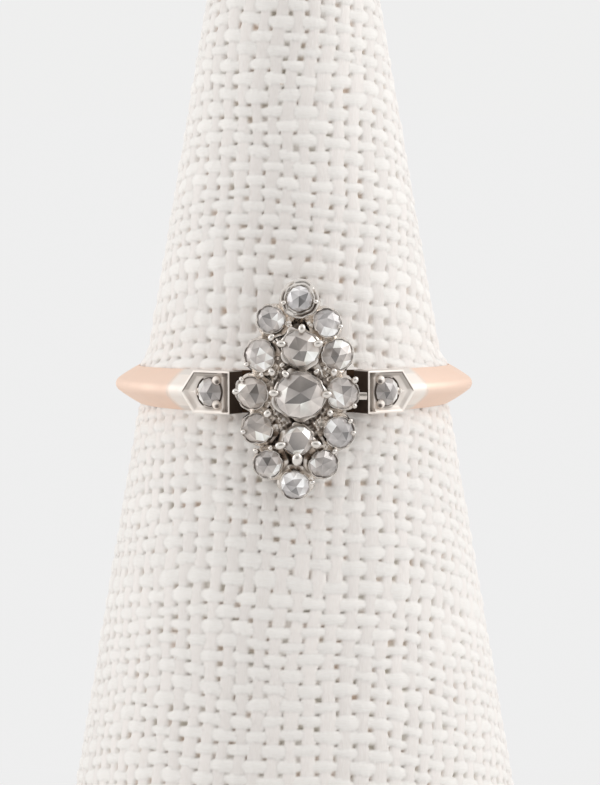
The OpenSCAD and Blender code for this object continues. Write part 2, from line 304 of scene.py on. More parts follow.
class Recipe:
    """A material's nodes, made with short calls round one Principled shader."""

    def __init__(self, name: str, **sockets: object) -> None:
        """Makes the material.

        Args:
            name: Its name.
            sockets: Values of the shader's sockets, with underscores for spaces.
        """
        self.material = bpy.data.materials.new(name)
        self.material.use_nodes = True
        self.tree = self.material.node_tree
        self.tree.nodes.clear()
        self.surface = self.add("BsdfPrincipled", **sockets)
        self.add("OutputMaterial", Surface=self.surface.outputs["BSDF"])

    def add(self, kind: str, settings: dict[str, object] | None = None, **sockets: object) -> bpy.types.Node:
        """Adds a node.

        Args:
            kind: The node's type, without "ShaderNode" in front.
            settings: Its own settings by name.
            sockets: Values or outputs for its inputs, with underscores for spaces, or i0, i1 and so on by
                number.

        Returns:
            The node.
        """
        node = self.tree.nodes.new("ShaderNode" + kind)
        for name, value in (settings or {}).items():
            setattr(node, name, value)
        for name, value in sockets.items():
            numbered = name[0] == "i" and name[1:].isdigit()
            socket = node.inputs[int(name[1:])] if numbered else node.inputs[name.replace("_", " ")]
            if isinstance(value, Socket):
                self.tree.links.new(value, socket)
            else:
                socket.default_value = (*value, 1.0) if socket.type == "RGBA" else value
        return node

    def feed(self, **sockets: Socket) -> None:
        """Links outputs to the shader's sockets."""
        for name, output in sockets.items():
            self.tree.links.new(output, self.surface.inputs[name.replace("_", " ")])

    def attribute(self, name: str, output: str = "Fac") -> Socket:
        """One output of a mesh attribute."""
        return self.add("Attribute", {"attribute_name": name}).outputs[output]

    def scaled(self, x: float, y: float, z: float, vector: Socket | None = None) -> Socket:
        """Object coordinates, or another vector, times (x, y, z)."""
        vector = vector or self.add("TexCoord").outputs["Object"]
        return self.add("Mapping", Vector=vector, Scale=(x, y, z)).outputs["Vector"]

    def noise(self, vector: Socket, scale: float, detail: float = 2) -> Socket:
        """The value of a noise texture."""
        return self.add("TexNoise", Vector=vector, Scale=scale, Detail=detail).outputs[0]

    def ramp(self, value: Socket, low: float, high: float, start: float, end: float) -> Socket:
        """A value carried from low..high to start..end and held there."""
        return self.add("MapRange", i0=value, i1=low, i2=high, i3=start, i4=end).outputs[0]

    def mix(self, share: float | Socket, first: object, second: object, blend: str = "MIX") -> Socket:
        """Two colours, each a fixed one or an output, mixed with a share of the second."""
        node = self.add("Mix", {"data_type": "RGBA", "blend_type": blend}, i0=share, i6=first, i7=second)
        return node.outputs[2]

    def bump(self, height: Socket, distance: float, strength: float = 1) -> None:
        """Raises the surface by a height, in metres at 1."""
        node = self.add("Bump", Height=height, Distance=distance, Strength=strength)
        self.feed(Normal=node.outputs[0])


@dataclass(frozen=True)
class MetalFinish:
    """A polished and worn metal, stained by the mark "tint" and darkened by patina and painted shade.

    Args:
        name: The material's name.
        colour: The clean metal.
        stain: The colour that it takes where "tint" is 1.
        dark: The colour that it takes where the patina and painted shade are full.
        edge: Tint of its mirror at glancing angles.
        roughness: The roughness of the polish.
        wear: How much the roughness varies.
        hammer: Height of its unevenness in millimetres.
        grain: How many times that unevenness turns in a metre.
        scratches: The same for the fine scratches.
        worn: How much of the stain the worn patches take.
        dull: How much rougher it is where the patina and painted shade are darkest.
    """

    name: str
    colour: Colour
    stain: Colour
    dark: Colour = (0.085, 0.052, 0.032)
    edge: Colour = (1.0, 1.0, 1.0)
    roughness: float = 0.2
    wear: float = 0.12
    hammer: float = 0.006
    grain: float = 900
    scratches: float = 14000
    worn: float = 0.16
    dull: float = 0.35

    def material(self) -> Material:
        """The material: slow unevenness and fine scratches in its bump, patches of duller polish, a stain,
        and the dark of patina and painted shade."""
        recipe = Recipe(self.name, Metallic=1.0, Specular_Tint=self.edge)
        # The dark mark: patina and painted shade.
        patina_and_shade = recipe.attribute("patina_and_shade")
        cloud = recipe.noise(recipe.scaled(1, 1, 1), scale=self.grain, detail=3)
        scratch = recipe.noise(recipe.scaled(0.25, 1, 1), scale=self.scratches, detail=3)
        colour = recipe.mix(recipe.attribute("tint"), self.colour, self.stain)
        patches = recipe.ramp(cloud, low=0.35, high=0.75, start=0, end=self.worn)
        worn = recipe.mix(patches, colour, self.stain)
        dullness = recipe.add("Math", {"operation": "ADD"}, i0=cloud, i1=patina_and_shade).outputs[0]
        roughest = self.roughness + self.wear + self.dull
        recipe.feed(
            Base_Color=recipe.mix(patina_and_shade, worn, self.dark),
            Roughness=recipe.ramp(dullness, low=0.3, high=1.6, start=self.roughness, end=roughest),
        )
        height = recipe.add("Math", {"operation": "MULTIPLY_ADD"}, i0=scratch, i1=0.05, i2=cloud).outputs[0]
        recipe.bump(height, self.hammer * MM)
        return recipe.material


@dataclass(frozen=True)
class GemFinish:
    """A cut stone, whose facets each have a painted tone of their own: the reflections and highlights that
    light gives them in a closed setting.

    Args:
        name: The material's name.
        clear: The share of light that goes through.
        mirror: The share that the facets throw back as a mirror does.
        cloud: Colour of the cloudy places.
        clouding: How much of it the cloudiest take.
        glow: Colour of the white facets' glint.
        glint: Its strength.
    """

    name: str = "diamond_facets"
    clear: float = 0.15
    mirror: float = 0.2
    cloud: Colour = (0.55, 0.56, 0.56)
    clouding: float = 0.36
    glow: Colour = (1.0, 0.985, 0.97)
    glint: float = 0.22

    def material(self) -> Material:
        """The material: the facet's tone, clouded a little, under a hard and smooth surface. The white
        facets glint: they send back a little more light than they get."""
        recipe = Recipe(
            self.name, Metallic=self.mirror, Transmission_Weight=self.clear, IOR=2.0, Roughness=0.05,
            Emission_Color=self.glow,
        )
        tone = recipe.attribute("tone", "Color")
        noise = recipe.noise(recipe.scaled(1, 1, 1), scale=2200, detail=3)
        clouds = recipe.ramp(noise, low=0.4, high=0.75, start=0, end=self.clouding)
        green = recipe.add("SeparateColor", i0=tone).outputs[1]
        # The white facets glow with a painted glint.
        recipe.feed(
            Base_Color=recipe.mix(clouds, tone, self.cloud, "MULTIPLY"),
            Emission_Strength=recipe.ramp(green, low=0.93, high=1.0, start=0, end=self.glint),
        )
        return recipe.material


@dataclass(frozen=True)
class LinenFinish:
    """Coarse undyed linen, which reads the mesh's own yarn marks.

    Args:
        light: Colour of the wefts.
        warp: Colour of the warps.
        shade: Colour of the painted shade between the yarns.
        deep: Another one, which it changes to from place to place.
        speck: Colour of the odd brown fleck of stalk.
    """

    light: Colour = (0.945, 0.920, 0.888)
    warp: Colour = (0.915, 0.875, 0.842)
    shade: Colour = (0.53, 0.35, 0.22)
    deep: Colour = (0.36, 0.31, 0.215)
    speck: Colour = (0.50, 0.34, 0.22)

    def material(self) -> Material:
        """The material: fibres along each yarn in the bump and colour, and brown painted shade deep between
        the yarns.
        """
        recipe = Recipe(
            "linen_weave", Roughness=0.9, Sheen_Weight=0.35, Sheen_Roughness=0.5, Specular_IOR_Level=0.2
        )
        yarn = recipe.add("SeparateXYZ", Vector=recipe.attribute("yarn", "Vector"))
        fibre = recipe.attribute("fibre", "Vector")
        tone, depth, is_warp = yarn.outputs
        strands = recipe.noise(recipe.scaled(0.9, 7, 1, fibre), scale=2.2, detail=4)
        fleck = recipe.noise(recipe.scaled(0.5, 1.6, 1, fibre), scale=0.75, detail=2)
        patch = recipe.noise(recipe.scaled(1, 1, 1), scale=700, detail=1)
        yarns = recipe.mix(is_warp, self.light, self.warp)
        pale = recipe.mix(recipe.ramp(strands, low=0.3, high=0.75, start=0.08, end=0), yarns, self.shade)
        toned = recipe.mix(1.0, pale, tone, "MULTIPLY")
        flecked = recipe.mix(recipe.ramp(fleck, low=0.73, high=0.78, start=0, end=0.35), toned, self.speck)
        between = recipe.mix(recipe.ramp(patch, low=0.42, high=0.58, start=0, end=1), self.shade, self.deep)
        recipe.feed(Base_Color=recipe.mix(depth, flecked, between))
        recipe.bump(strands, distance=0.025 * MM, strength=0.7)
        return recipe.material


@dataclass(frozen=True)
class WoodFinish:
    """The turned wood of the cone's core, seen only at its foot.

    Args:
        light: Colour of the early wood.
        dark: Colour of the late wood.
    """

    light: Colour = (0.55, 0.38, 0.22)
    dark: Colour = (0.36, 0.22, 0.11)

    def material(self) -> Material:
        """The material: rings about the cone's axis, bent by a slow noise."""
        recipe = Recipe("core_wood", Roughness=0.55)
        rings = recipe.add(
            "TexWave", {"wave_type": "RINGS", "rings_direction": "Z"},
            Vector=recipe.scaled(1, 1, 0.1), Scale=160, Distortion=3, Detail=3,
        )
        recipe.feed(Base_Color=recipe.mix(rings.outputs[1], self.light, self.dark))
        recipe.bump(rings.outputs[1], distance=0.05 * MM, strength=0.5)
        return recipe.material


@dataclass(frozen=True)
class FloorFinish:
    """A pale sweep that glows as evenly as the tent round it, and takes a soft shadow close to the cone.

    Args:
        pale: The brightness of the sweep and of the tent.
        near: Radius in millimetres within which it is plain matt paper.
        far: Radius from which it only glows.
        paper: Colour of the paper.
    """

    pale: float
    near: float = 60
    far: float = 170
    paper: Colour = (0.8, 0.8, 0.797)

    def material(self) -> Material:
        """The material: matt paper near the cone, blending to an even glow."""
        glow = (self.pale, self.pale, self.pale)
        recipe = Recipe("pale_sweep", Roughness=0.9, Specular_IOR_Level=0.0, Emission_Color=glow)
        length = recipe.add("VectorMath", {"operation": "LENGTH"}, i0=recipe.scaled(1, 1, 1))
        share = recipe.ramp(length.outputs["Value"], low=self.near * MM, high=self.far * MM, start=0, end=1)
        recipe.feed(
            Emission_Strength=share,
            Base_Color=recipe.mix(share, self.paper, (0.0, 0.0, 0.0)),
        )
        return recipe.material


# Frames of the ring


@dataclass(frozen=True)
class RingFrame:
    """Where the ring stands on the cone, and the frames that its parts are worked out in.

    Args:
        height: Height of the ring's middle above the foot of the cone.
        turn: How far the ring is turned about the cone, in degrees.
        lean: How far the cluster leans on the shank.
        plate_angle: Angle from the front to the middle of a shoulder's plate.
        plate_radius: Distance from the ring's axis to that plate's rim.
        plate_tilt: Extra slope of the plate towards the back.
    """

    height: float
    turn: float = 1.6
    lean: float = 1.5
    plate_angle: float = 30.0
    plate_radius: float = 10.0
    plate_tilt: float = 4.6

    def ring(self) -> np.ndarray:
        """The ring's own frame, its axis along z."""
        return moved(0, 0, self.height) @ turned("Z", self.turn)

    def head(self) -> np.ndarray:
        """The cluster's frame."""
        return self.ring() @ turned("Y", self.lean) @ turned("X", 90)

    def plate(self, side: Side) -> np.ndarray:
        """The frame of one shoulder's plate, mirrored for the left one."""
        mirror = np.diag([side.value, 1.0, 1.0, 1.0])
        outwards = turned("Z", self.plate_angle) @ moved(0, -self.plate_radius, 0)
        return self.ring() @ mirror @ outwards @ turned("X", 90) @ turned("Y", self.plate_tilt)


# Shank and shoulders


@dataclass
class Shank:
    """The rose gold shank with its knife edge, and the white metal that is soldered over its front.

    Args:
        place: The ring's frame.
        bore: Radius of the bore.
        ridge: Radius over the knife edge.
        ridge_round: Radius of the rounded edge.
        front_width: Width at the shoulders.
        back_width: Width at the back.
        band: Radius over the plain band under the white metal.
        break_size: Small round between bore and flanks.
        bulge: How far the flanks swell.
        white_end: Angle from the front at which the white metal ends.
        white_start: Angle at which the white metal starts.
        fade: Length over which one metal fades into the other.
    """

    place: RingFrame
    bore: float = 8.5
    ridge: float = 9.8
    ridge_round: float = 0.5
    front_width: float = 2.3
    back_width: float = 1.7
    band: float = 9.0
    break_size: float = 0.06
    bulge: float = 0.05
    white_end: float = 45.4
    white_start: float = 21.2
    fade: float = 0.24

    # Rows of the section's parts, and columns along the gold's front and back and along the white metal.
    SIDE_ROWS = 17
    CORNER_ROWS = 5
    EDGE_ROWS = 8
    BORE_ROWS = 9
    FRONT_COLUMNS = 70
    BACK_COLUMNS = 330
    WHITE_COLUMNS = 72
    # Half of the line between the two metals, and how deep the white metal reaches into the plain band.
    LINE = 0.004
    ROOT = 0.03
    # Angles in radians from the front between which the painted shade under the cluster ends.
    SHADE = (0.425, 0.40)

    def flank(self) -> Grid:
        """Half of the section as (radius, height): a rounded corner at the bore, a slightly swollen flank,
        worked out as a curve of second degree, and a quarter of the round edge."""
        half = self.front_width / 2
        lean = math.atan((half - self.ridge_round) / (self.ridge - self.ridge_round - self.bore))
        middle = self.ridge - self.ridge_round
        top = np.array([middle + self.ridge_round * math.sin(lean), self.ridge_round * math.cos(lean)])
        foot = np.array([self.bore + self.break_size, half])
        crown = (top + foot) / 2 + self.bulge * np.array([math.sin(lean), math.cos(lean)])
        t = np.linspace(0, 1, self.SIDE_ROWS)[:, None]
        side = (1 - t) ** 2 * foot + 2 * t * (1 - t) * crown + t**2 * top
        corner = arc((foot[0], half - self.break_size), self.break_size, 180, 90, self.CORNER_ROWS)[:-1]
        edge = arc((middle, 0), self.ridge_round, 90 - math.degrees(lean), 0, self.EDGE_ROWS)[1:]
        return np.concatenate([corner, side, edge])

    def outer(self) -> Grid:
        """The whole outside of the section, from the upper corner at the bore over the edge to the lower
        one."""
        half = self.flank()
        return np.concatenate([half, half[-2::-1] * (1, -1)])

    def width_share(self, angle: Grid) -> Grid:
        """The section's height at an angle from the front, as a share of its height at the shoulders: it
        narrows evenly with the distance towards the back."""
        back = (1 - np.cos(angle)) / 2
        return 1 - back * (1 - self.back_width / self.front_width)

    def white_until(self, radius: Grid, past: float) -> Grid:
        """The angle in radians from the front at which the two metals meet, moved on by a length."""
        return math.radians(self.white_end) + past / radius

    def carried(self, radius: Grid, angle: Grid, height: Grid) -> Grid:
        """Points at a radius, an angle from the front and a height, put in the ring's place."""
        points = np.stack([radius * np.sin(angle), -radius * np.cos(angle), height], axis=-1)
        return placed(self.place.ring(), points)

    def gold_shell(self) -> tuple[Shell, dict[str, Grid]]:
        """The gold as one closed sweep: the section is carried once round the ring. Under the white metal
        every point further out than the plain band is pressed down to it, and each end of that stretch is a
        step with two columns.

        Returns:
            The shell, and its marks: painted shade in front, under the cluster, and "tint" near the white
                metal.
        """
        outer = self.outer()
        bore_z = np.linspace(-1, 1, self.BORE_ROWS)[1:-1] * (self.front_width / 2 - self.break_size)
        inner = np.stack([np.full_like(bore_z, self.bore), bore_z], axis=1)
        loop = np.concatenate([outer, inner, outer[:1]])
        radius, height = loop[:, :1], loop[:, 1:]
        start = self.white_until(radius, self.LINE)
        front = start * np.linspace(-1, 1, self.FRONT_COLUMNS)
        back = start + (FULL_TURN - 2 * start) * np.linspace(0, 1, self.BACK_COLUMNS)
        angle = np.concatenate([front, back], axis=1)
        pressed = np.concatenate([np.ones_like(front), np.zeros_like(back)], axis=1)
        radii = np.where(pressed > 0, np.minimum(radius, self.band), radius)
        heights = height * self.width_share(angle)
        shell = Shell.of_grid(self.carried(radii, angle, heights), wrap=True)
        from_front = np.abs((angle + math.pi) % FULL_TURN - math.pi)
        past = radii * (from_front - math.radians(self.white_end))
        outside = radii > self.bore + self.break_size / 2
        tint = outside * eased(past, self.fade, -self.fade)
        # Painted shade on the plain band in front, under the cluster.
        patina_and_shade = outside * pressed * eased(from_front, *self.SHADE)
        return shell, {"tint": tint.ravel(), "patina_and_shade": patina_and_shade.ravel()}

    def build_gold(self, material: Material) -> Object:
        """Makes the shank."""
        shell, marks = self.gold_shell()
        return Piece("rose_gold_shank", [shell], "rose_gold", ["shank"], marks, sharp=30).build(material)

    def white_flank(self, side: Side) -> Shell:
        """The white metal over the flanks of one shoulder: the section's outside beyond the plain band,
        carried from the edge by the cluster to the gold, over a floor at the band."""
        half = self.flank()
        start = [self.band, np.interp(self.band, half[:, 0], half[:, 1])]
        half = np.concatenate([[start], half[half[:, 0] > self.band + 0.01]])
        outer = np.concatenate([half, half[-2::-1] * (1, -1)])
        radius, height = outer[:, :1], outer[:, 1:]
        reach = self.ridge * math.tan(math.radians(self.place.plate_angle - self.white_start))
        first = math.radians(self.place.plate_angle) - np.arcsin(reach / radius)
        last = self.white_until(radius, -self.LINE)
        angle = first + (last - first) * np.linspace(0, 1, self.WHITE_COLUMNS)
        heights = height * self.width_share(angle)
        top, floor = radius + 0 * angle, np.full_like(angle, self.band - self.ROOT)
        return Shell.slab(*(self.carried(r, side.value * angle, heights) for r in (top, floor)))

    def white_tint(self, points: Grid) -> Grid:
        """How much of the gold's colour shows through at points of the white flank, by their way to the
        gold."""
        local = placed(np.linalg.inv(self.place.ring()), points)
        angle = np.arctan2(np.abs(local[:, 0]), -local[:, 1])
        past = np.hypot(local[:, 0], local[:, 1]) * (angle - math.radians(self.white_end))
        return 0.5 * eased(past, -self.fade, 0)


@dataclass
class Shoulder:
    """One shoulder: the white metal over the flanks, a house-shaped plate with a raised rim, the pocket of
    its stone and two beads.

    Args:
        side: Which shoulder.
        shank: The shank that it covers.
        length: Length of the plate.
        point: Length of its pointed end.
        width: Its width.
        rim: Width of the flat top of its rim.
        stone_x: Place of the stone along the plate.
        stone_depth: Depth of the stone's girdle under the rim.
        stone_radius: Radius of the stone.
        strip_depth: Depth of the flat strip by the cluster.
        bead_at: Place of the upper bead from the stone, as shares of its radius.
        bead_radius: Radius of the beads.
    """

    side: Side
    shank: Shank
    length: float = 3.16
    point: float = 0.84
    width: float = 2.28
    rim: float = 0.085
    stone_x: float = -0.23
    stone_depth: float = 0.12
    stone_radius: float = 0.75
    strip_depth: float = 0.30
    bead_at: tuple[float, float] = (-0.66, 0.86)
    bead_radius: float = 0.24

    # Columns round the plate, rows from the stone to its rim, and rows and columns of a grain.
    COLUMNS = 240
    CARVED_ROWS = 40
    GRAIN = (11, 20)
    # Gap round the stone in its pocket, width of the pocket's ledge, and its depth under the girdle.
    CLEARANCE = 0.02
    LEDGE = 0.035
    POCKET = 0.09
    # How far the cuts fall from the rim and again by the stone, and how far the corner is rounded.
    CUT = 0.17
    FALL = 0.05
    ROUND = 0.02
    # Widths of the bright-cut slope, of the strip's inner and outer wall and of the rounded corner.
    SLOPE = 0.30
    WALLS = (0.05, 0.045)
    CORNER = 0.05
    # How far the strip keeps from the stone, and where the top starts and stops falling towards it.
    STRIP_GAP = 0.12
    FALLING = (0.16, 0.06)
    # The way towards a grain's painted shade, in the plate's frame.
    PAINTED_SHADE_WAY = (-0.55, -0.35, 0.75)

    def to_edge(self, x: Grid, y: Grid) -> Grid:
        """Distance from points of the plate to its nearest side, measured square to that side.

        Args:
            x: Places along the plate.
            y: Places across it.

        Returns:
            The distances, 0 outside the plate.
        """
        half_l, half_w = self.length / 2, self.width / 2
        slope = math.atan2(half_w, self.point)
        roof = math.sin(slope) * (half_l - x) - math.cos(slope) * np.abs(y)
        return np.maximum(np.minimum(np.minimum(x + half_l, half_w - np.abs(y)), roof), 0)

    def outline_reach(self, angle: Grid) -> Grid:
        """Distance from the stone's middle to the plate's outline in each direction: the nearest of its
        five sides, each of which lies at its distance over the cosine of the angle to it."""
        half_l, half_w = self.length / 2, self.width / 2
        slope = math.atan2(half_w, self.point)
        along, up = math.sin(slope), math.cos(slope)
        end, roof = half_l + self.stone_x, along * (half_l - self.stone_x)
        reach = np.full_like(angle, np.inf)
        for x, y, distance in (
            (-1, 0, end), (0, 1, half_w), (0, -1, half_w), (along, up, roof), (along, -up, roof)
        ):
            towards = x * np.cos(angle) + y * np.sin(angle)
            reach = np.minimum(reach, np.where(towards > 1e-6, distance / np.maximum(towards, 1e-6), np.inf))
        return reach

    def carved(self, x: Grid, y: Grid, to_edge: Grid) -> Grid:
        """Height of the carved top under the rim: bright-cut slopes fall from the rim to the stone's edge,
        and a flat strip lies deep by the wall next to the cluster.

        Args:
            x: Places along the plate.
            y: Places across it.
            to_edge: Distance to the outline.

        Returns:
            Heights, 0 at the rim.
        """
        from_stone = np.hypot(x - self.stone_x, y) - self.stone_radius
        slope = -self.CUT * eased(to_edge, self.rim, self.rim + self.SLOPE)
        ledge = -self.FALL * eased(from_stone, *self.FALLING)
        inner, outer = self.WALLS
        strip_x = self.stone_x - self.stone_radius - self.STRIP_GAP
        strip = eased(x, strip_x, strip_x - inner) * eased(to_edge, self.rim, self.rim + outer)
        carved = (slope + ledge) * (1 - strip) - self.strip_depth * strip
        return carved - self.ROUND * eased(to_edge, self.CORNER, 0.0)

    def foot(self, x: Grid) -> Grid:
        """Height at which the plate meets the plain band: the root of the circle of the band's radius in
        the plate's tilted frame."""
        tilt = math.radians(self.shank.place.plate_tilt)
        out, band = self.shank.place.plate_radius, self.shank.band + 0.02
        across = (out - x * math.sin(tilt)) ** 2 + (x * math.cos(tilt)) ** 2
        return -out * math.cos(tilt) + np.sqrt((out * math.cos(tilt)) ** 2 - across + band**2)

    def plate(self) -> Shell:
        """The plate as one closed surface about the stone's middle: rows run from the bottom of the pocket
        up its wall, out over the carved top to the rim, down the outer wall and back under the plate."""
        columns = self.COLUMNS
        angle = np.arange(columns) * FULL_TURN / columns
        reach = self.outline_reach(angle)
        pocket = self.stone_radius + self.CLEARANCE
        lip = pocket + self.LEDGE
        deep = -self.stone_depth - self.POCKET
        rows: list[tuple[Grid, Grid]] = []

        def ring(radius: Grid, height: Grid) -> None:
            """Keeps one row of radii and heights."""
            rows.append((np.broadcast_to(radius, (columns,)), np.broadcast_to(height, (columns,))))

        ring(0.0, deep - 0.2)
        ring(0.6 * pocket, deep - 0.2)
        ring(0.85 * pocket, deep)
        ring(pocket, deep)
        for share in np.linspace(0, 1, self.CARVED_ROWS) ** 1.1:
            radius = lip + (reach - lip) * share
            x, y = self.stone_x + radius * np.cos(angle), radius * np.sin(angle)
            height = self.carved(x, y, self.to_edge(x, y))
            if share == 0:
                ring(pocket, height - 0.03)
            ring(radius, height)
        bottom = self.foot(self.stone_x + reach * np.cos(angle))
        for share in (0.03, 0.5, 1.0):
            ring(reach, -0.02 + (bottom + 0.02) * share)
        ring(0.5 * reach, self.foot(self.stone_x + 0.5 * reach * np.cos(angle)))
        ring(0.0, self.foot(np.array(self.stone_x)))
        radius, height = (np.stack([row[i] for row in rows]) for i in (0, 1))
        return Shell.of_grid(polar(radius, angle, height) + (self.stone_x, 0, 0), wrap=True)

    def beads(self) -> list[Shell]:
        """Two round grains that hold the stone on the side by the cluster, and a slim prong on the pointed
        side."""
        rows, columns = self.GRAIN
        x, y = (share * self.stone_radius for share in self.bead_at)
        grains = []
        for radius, along, across, rise, squash in (
            (0.13, 1.13 * self.stone_radius, 0, 0.03, (0.6, 1.1, 0.8, 1)),
            (self.bead_radius, x, y, 0.06, (1, 1, 0.85, 1)),
            (self.bead_radius, x, -y, 0.06, (1, 1, 0.85, 1)),
        ):
            ball = Shell.revolved(arc((0, 0), radius, -90, 90, rows), columns)
            place = moved(self.stone_x + along, across, -self.stone_depth + rise)
            grains.append(ball.at(place @ np.diag(squash)))
        return grains

    def darkness(self, points: Grid) -> Grid:
        """How much painted shade points of the plate take: in the strip, in the pocket, a little inside the
        rim and more on its upper half, in two crescents beside the stone, and on the wall by the cluster."""
        x, y, z = points.T
        from_stone = np.hypot(x - self.stone_x, y) - self.stone_radius
        way = np.abs(np.degrees(np.arctan2(y, x - self.stone_x)))
        end = -self.length / 2
        strip_x = self.stone_x - self.stone_radius
        strip = eased(x, strip_x - 0.11, strip_x - 0.2) * eased(z, -0.12, -0.26)
        strip = strip * eased(x, end + 0.01, end + 0.04)
        pocket = eased(from_stone, 0.05, 0.02)
        crescent = eased(np.abs(from_stone - 0.075), 0.06, 0.03) * eased(way, 9, 14) * eased(way, 66, 54)
        inside = eased(z, -0.01, -0.05) * (1 + 0.5 * np.sin(4 * x) * np.sin(3 * y + 1))
        wall = eased(x, end + 0.02, end + 0.005) * eased(z, -0.025, -0.045)
        to_edge = self.to_edge(x, y)
        line = eased(np.abs(to_edge - self.rim - 0.04), 0.04, 0.015) * eased(y, -0.1, 0.1)
        line = line * eased(x, end + 0.5, end + 0.9)
        upper = eased(to_edge, 0.36, 0.28) * eased(to_edge, self.rim, self.rim + 0.02) * eased(y, 0.0, 0.15)
        return np.maximum.reduce([
            0.6 * strip, 0.8 * pocket, 0.9 * crescent, 0.18 * inside, 0.95 * wall, 0.7 * line, 0.35 * upper
        ])

    def build(self, material: Material) -> Object:
        """Makes the shoulder."""
        to_world = self.shank.place.plate(self.side)
        flank, plate, grains = self.shank.white_flank(self.side), self.plate(), self.beads()
        shells = [flank, *(part.at(to_world) for part in (plate, *grains))]
        # Painted shade on one side of each grain.
        marks = []
        for grain in grains:
            away = (grain.points - grain.points.mean(axis=0)) @ self.PAINTED_SHADE_WAY / self.bead_radius
            marks.append(0.75 * eased(away, 0.72, 0.86))
        # Painted shade on the white flank's end by the cluster.
        flank_x = placed(np.linalg.inv(to_world), flank.points)[:, 0]
        flank_end_shade = 0.9 * (flank_x < flank_x.min() + 0.01)
        patina_and_shade = np.concatenate([flank_end_shade, self.darkness(plate.points), *marks])
        tint = np.zeros(len(patina_and_shade))
        tint[: len(flank.points)] = self.shank.white_tint(flank.points)
        name = f"shoulder_{self.side.name.lower()}"
        piece = Piece(f"white_{name}", shells, "white_metal", [name], {"patina_and_shade": patina_and_shade, "tint": tint}, sharp=28)
        return piece.build(material)


# Stones


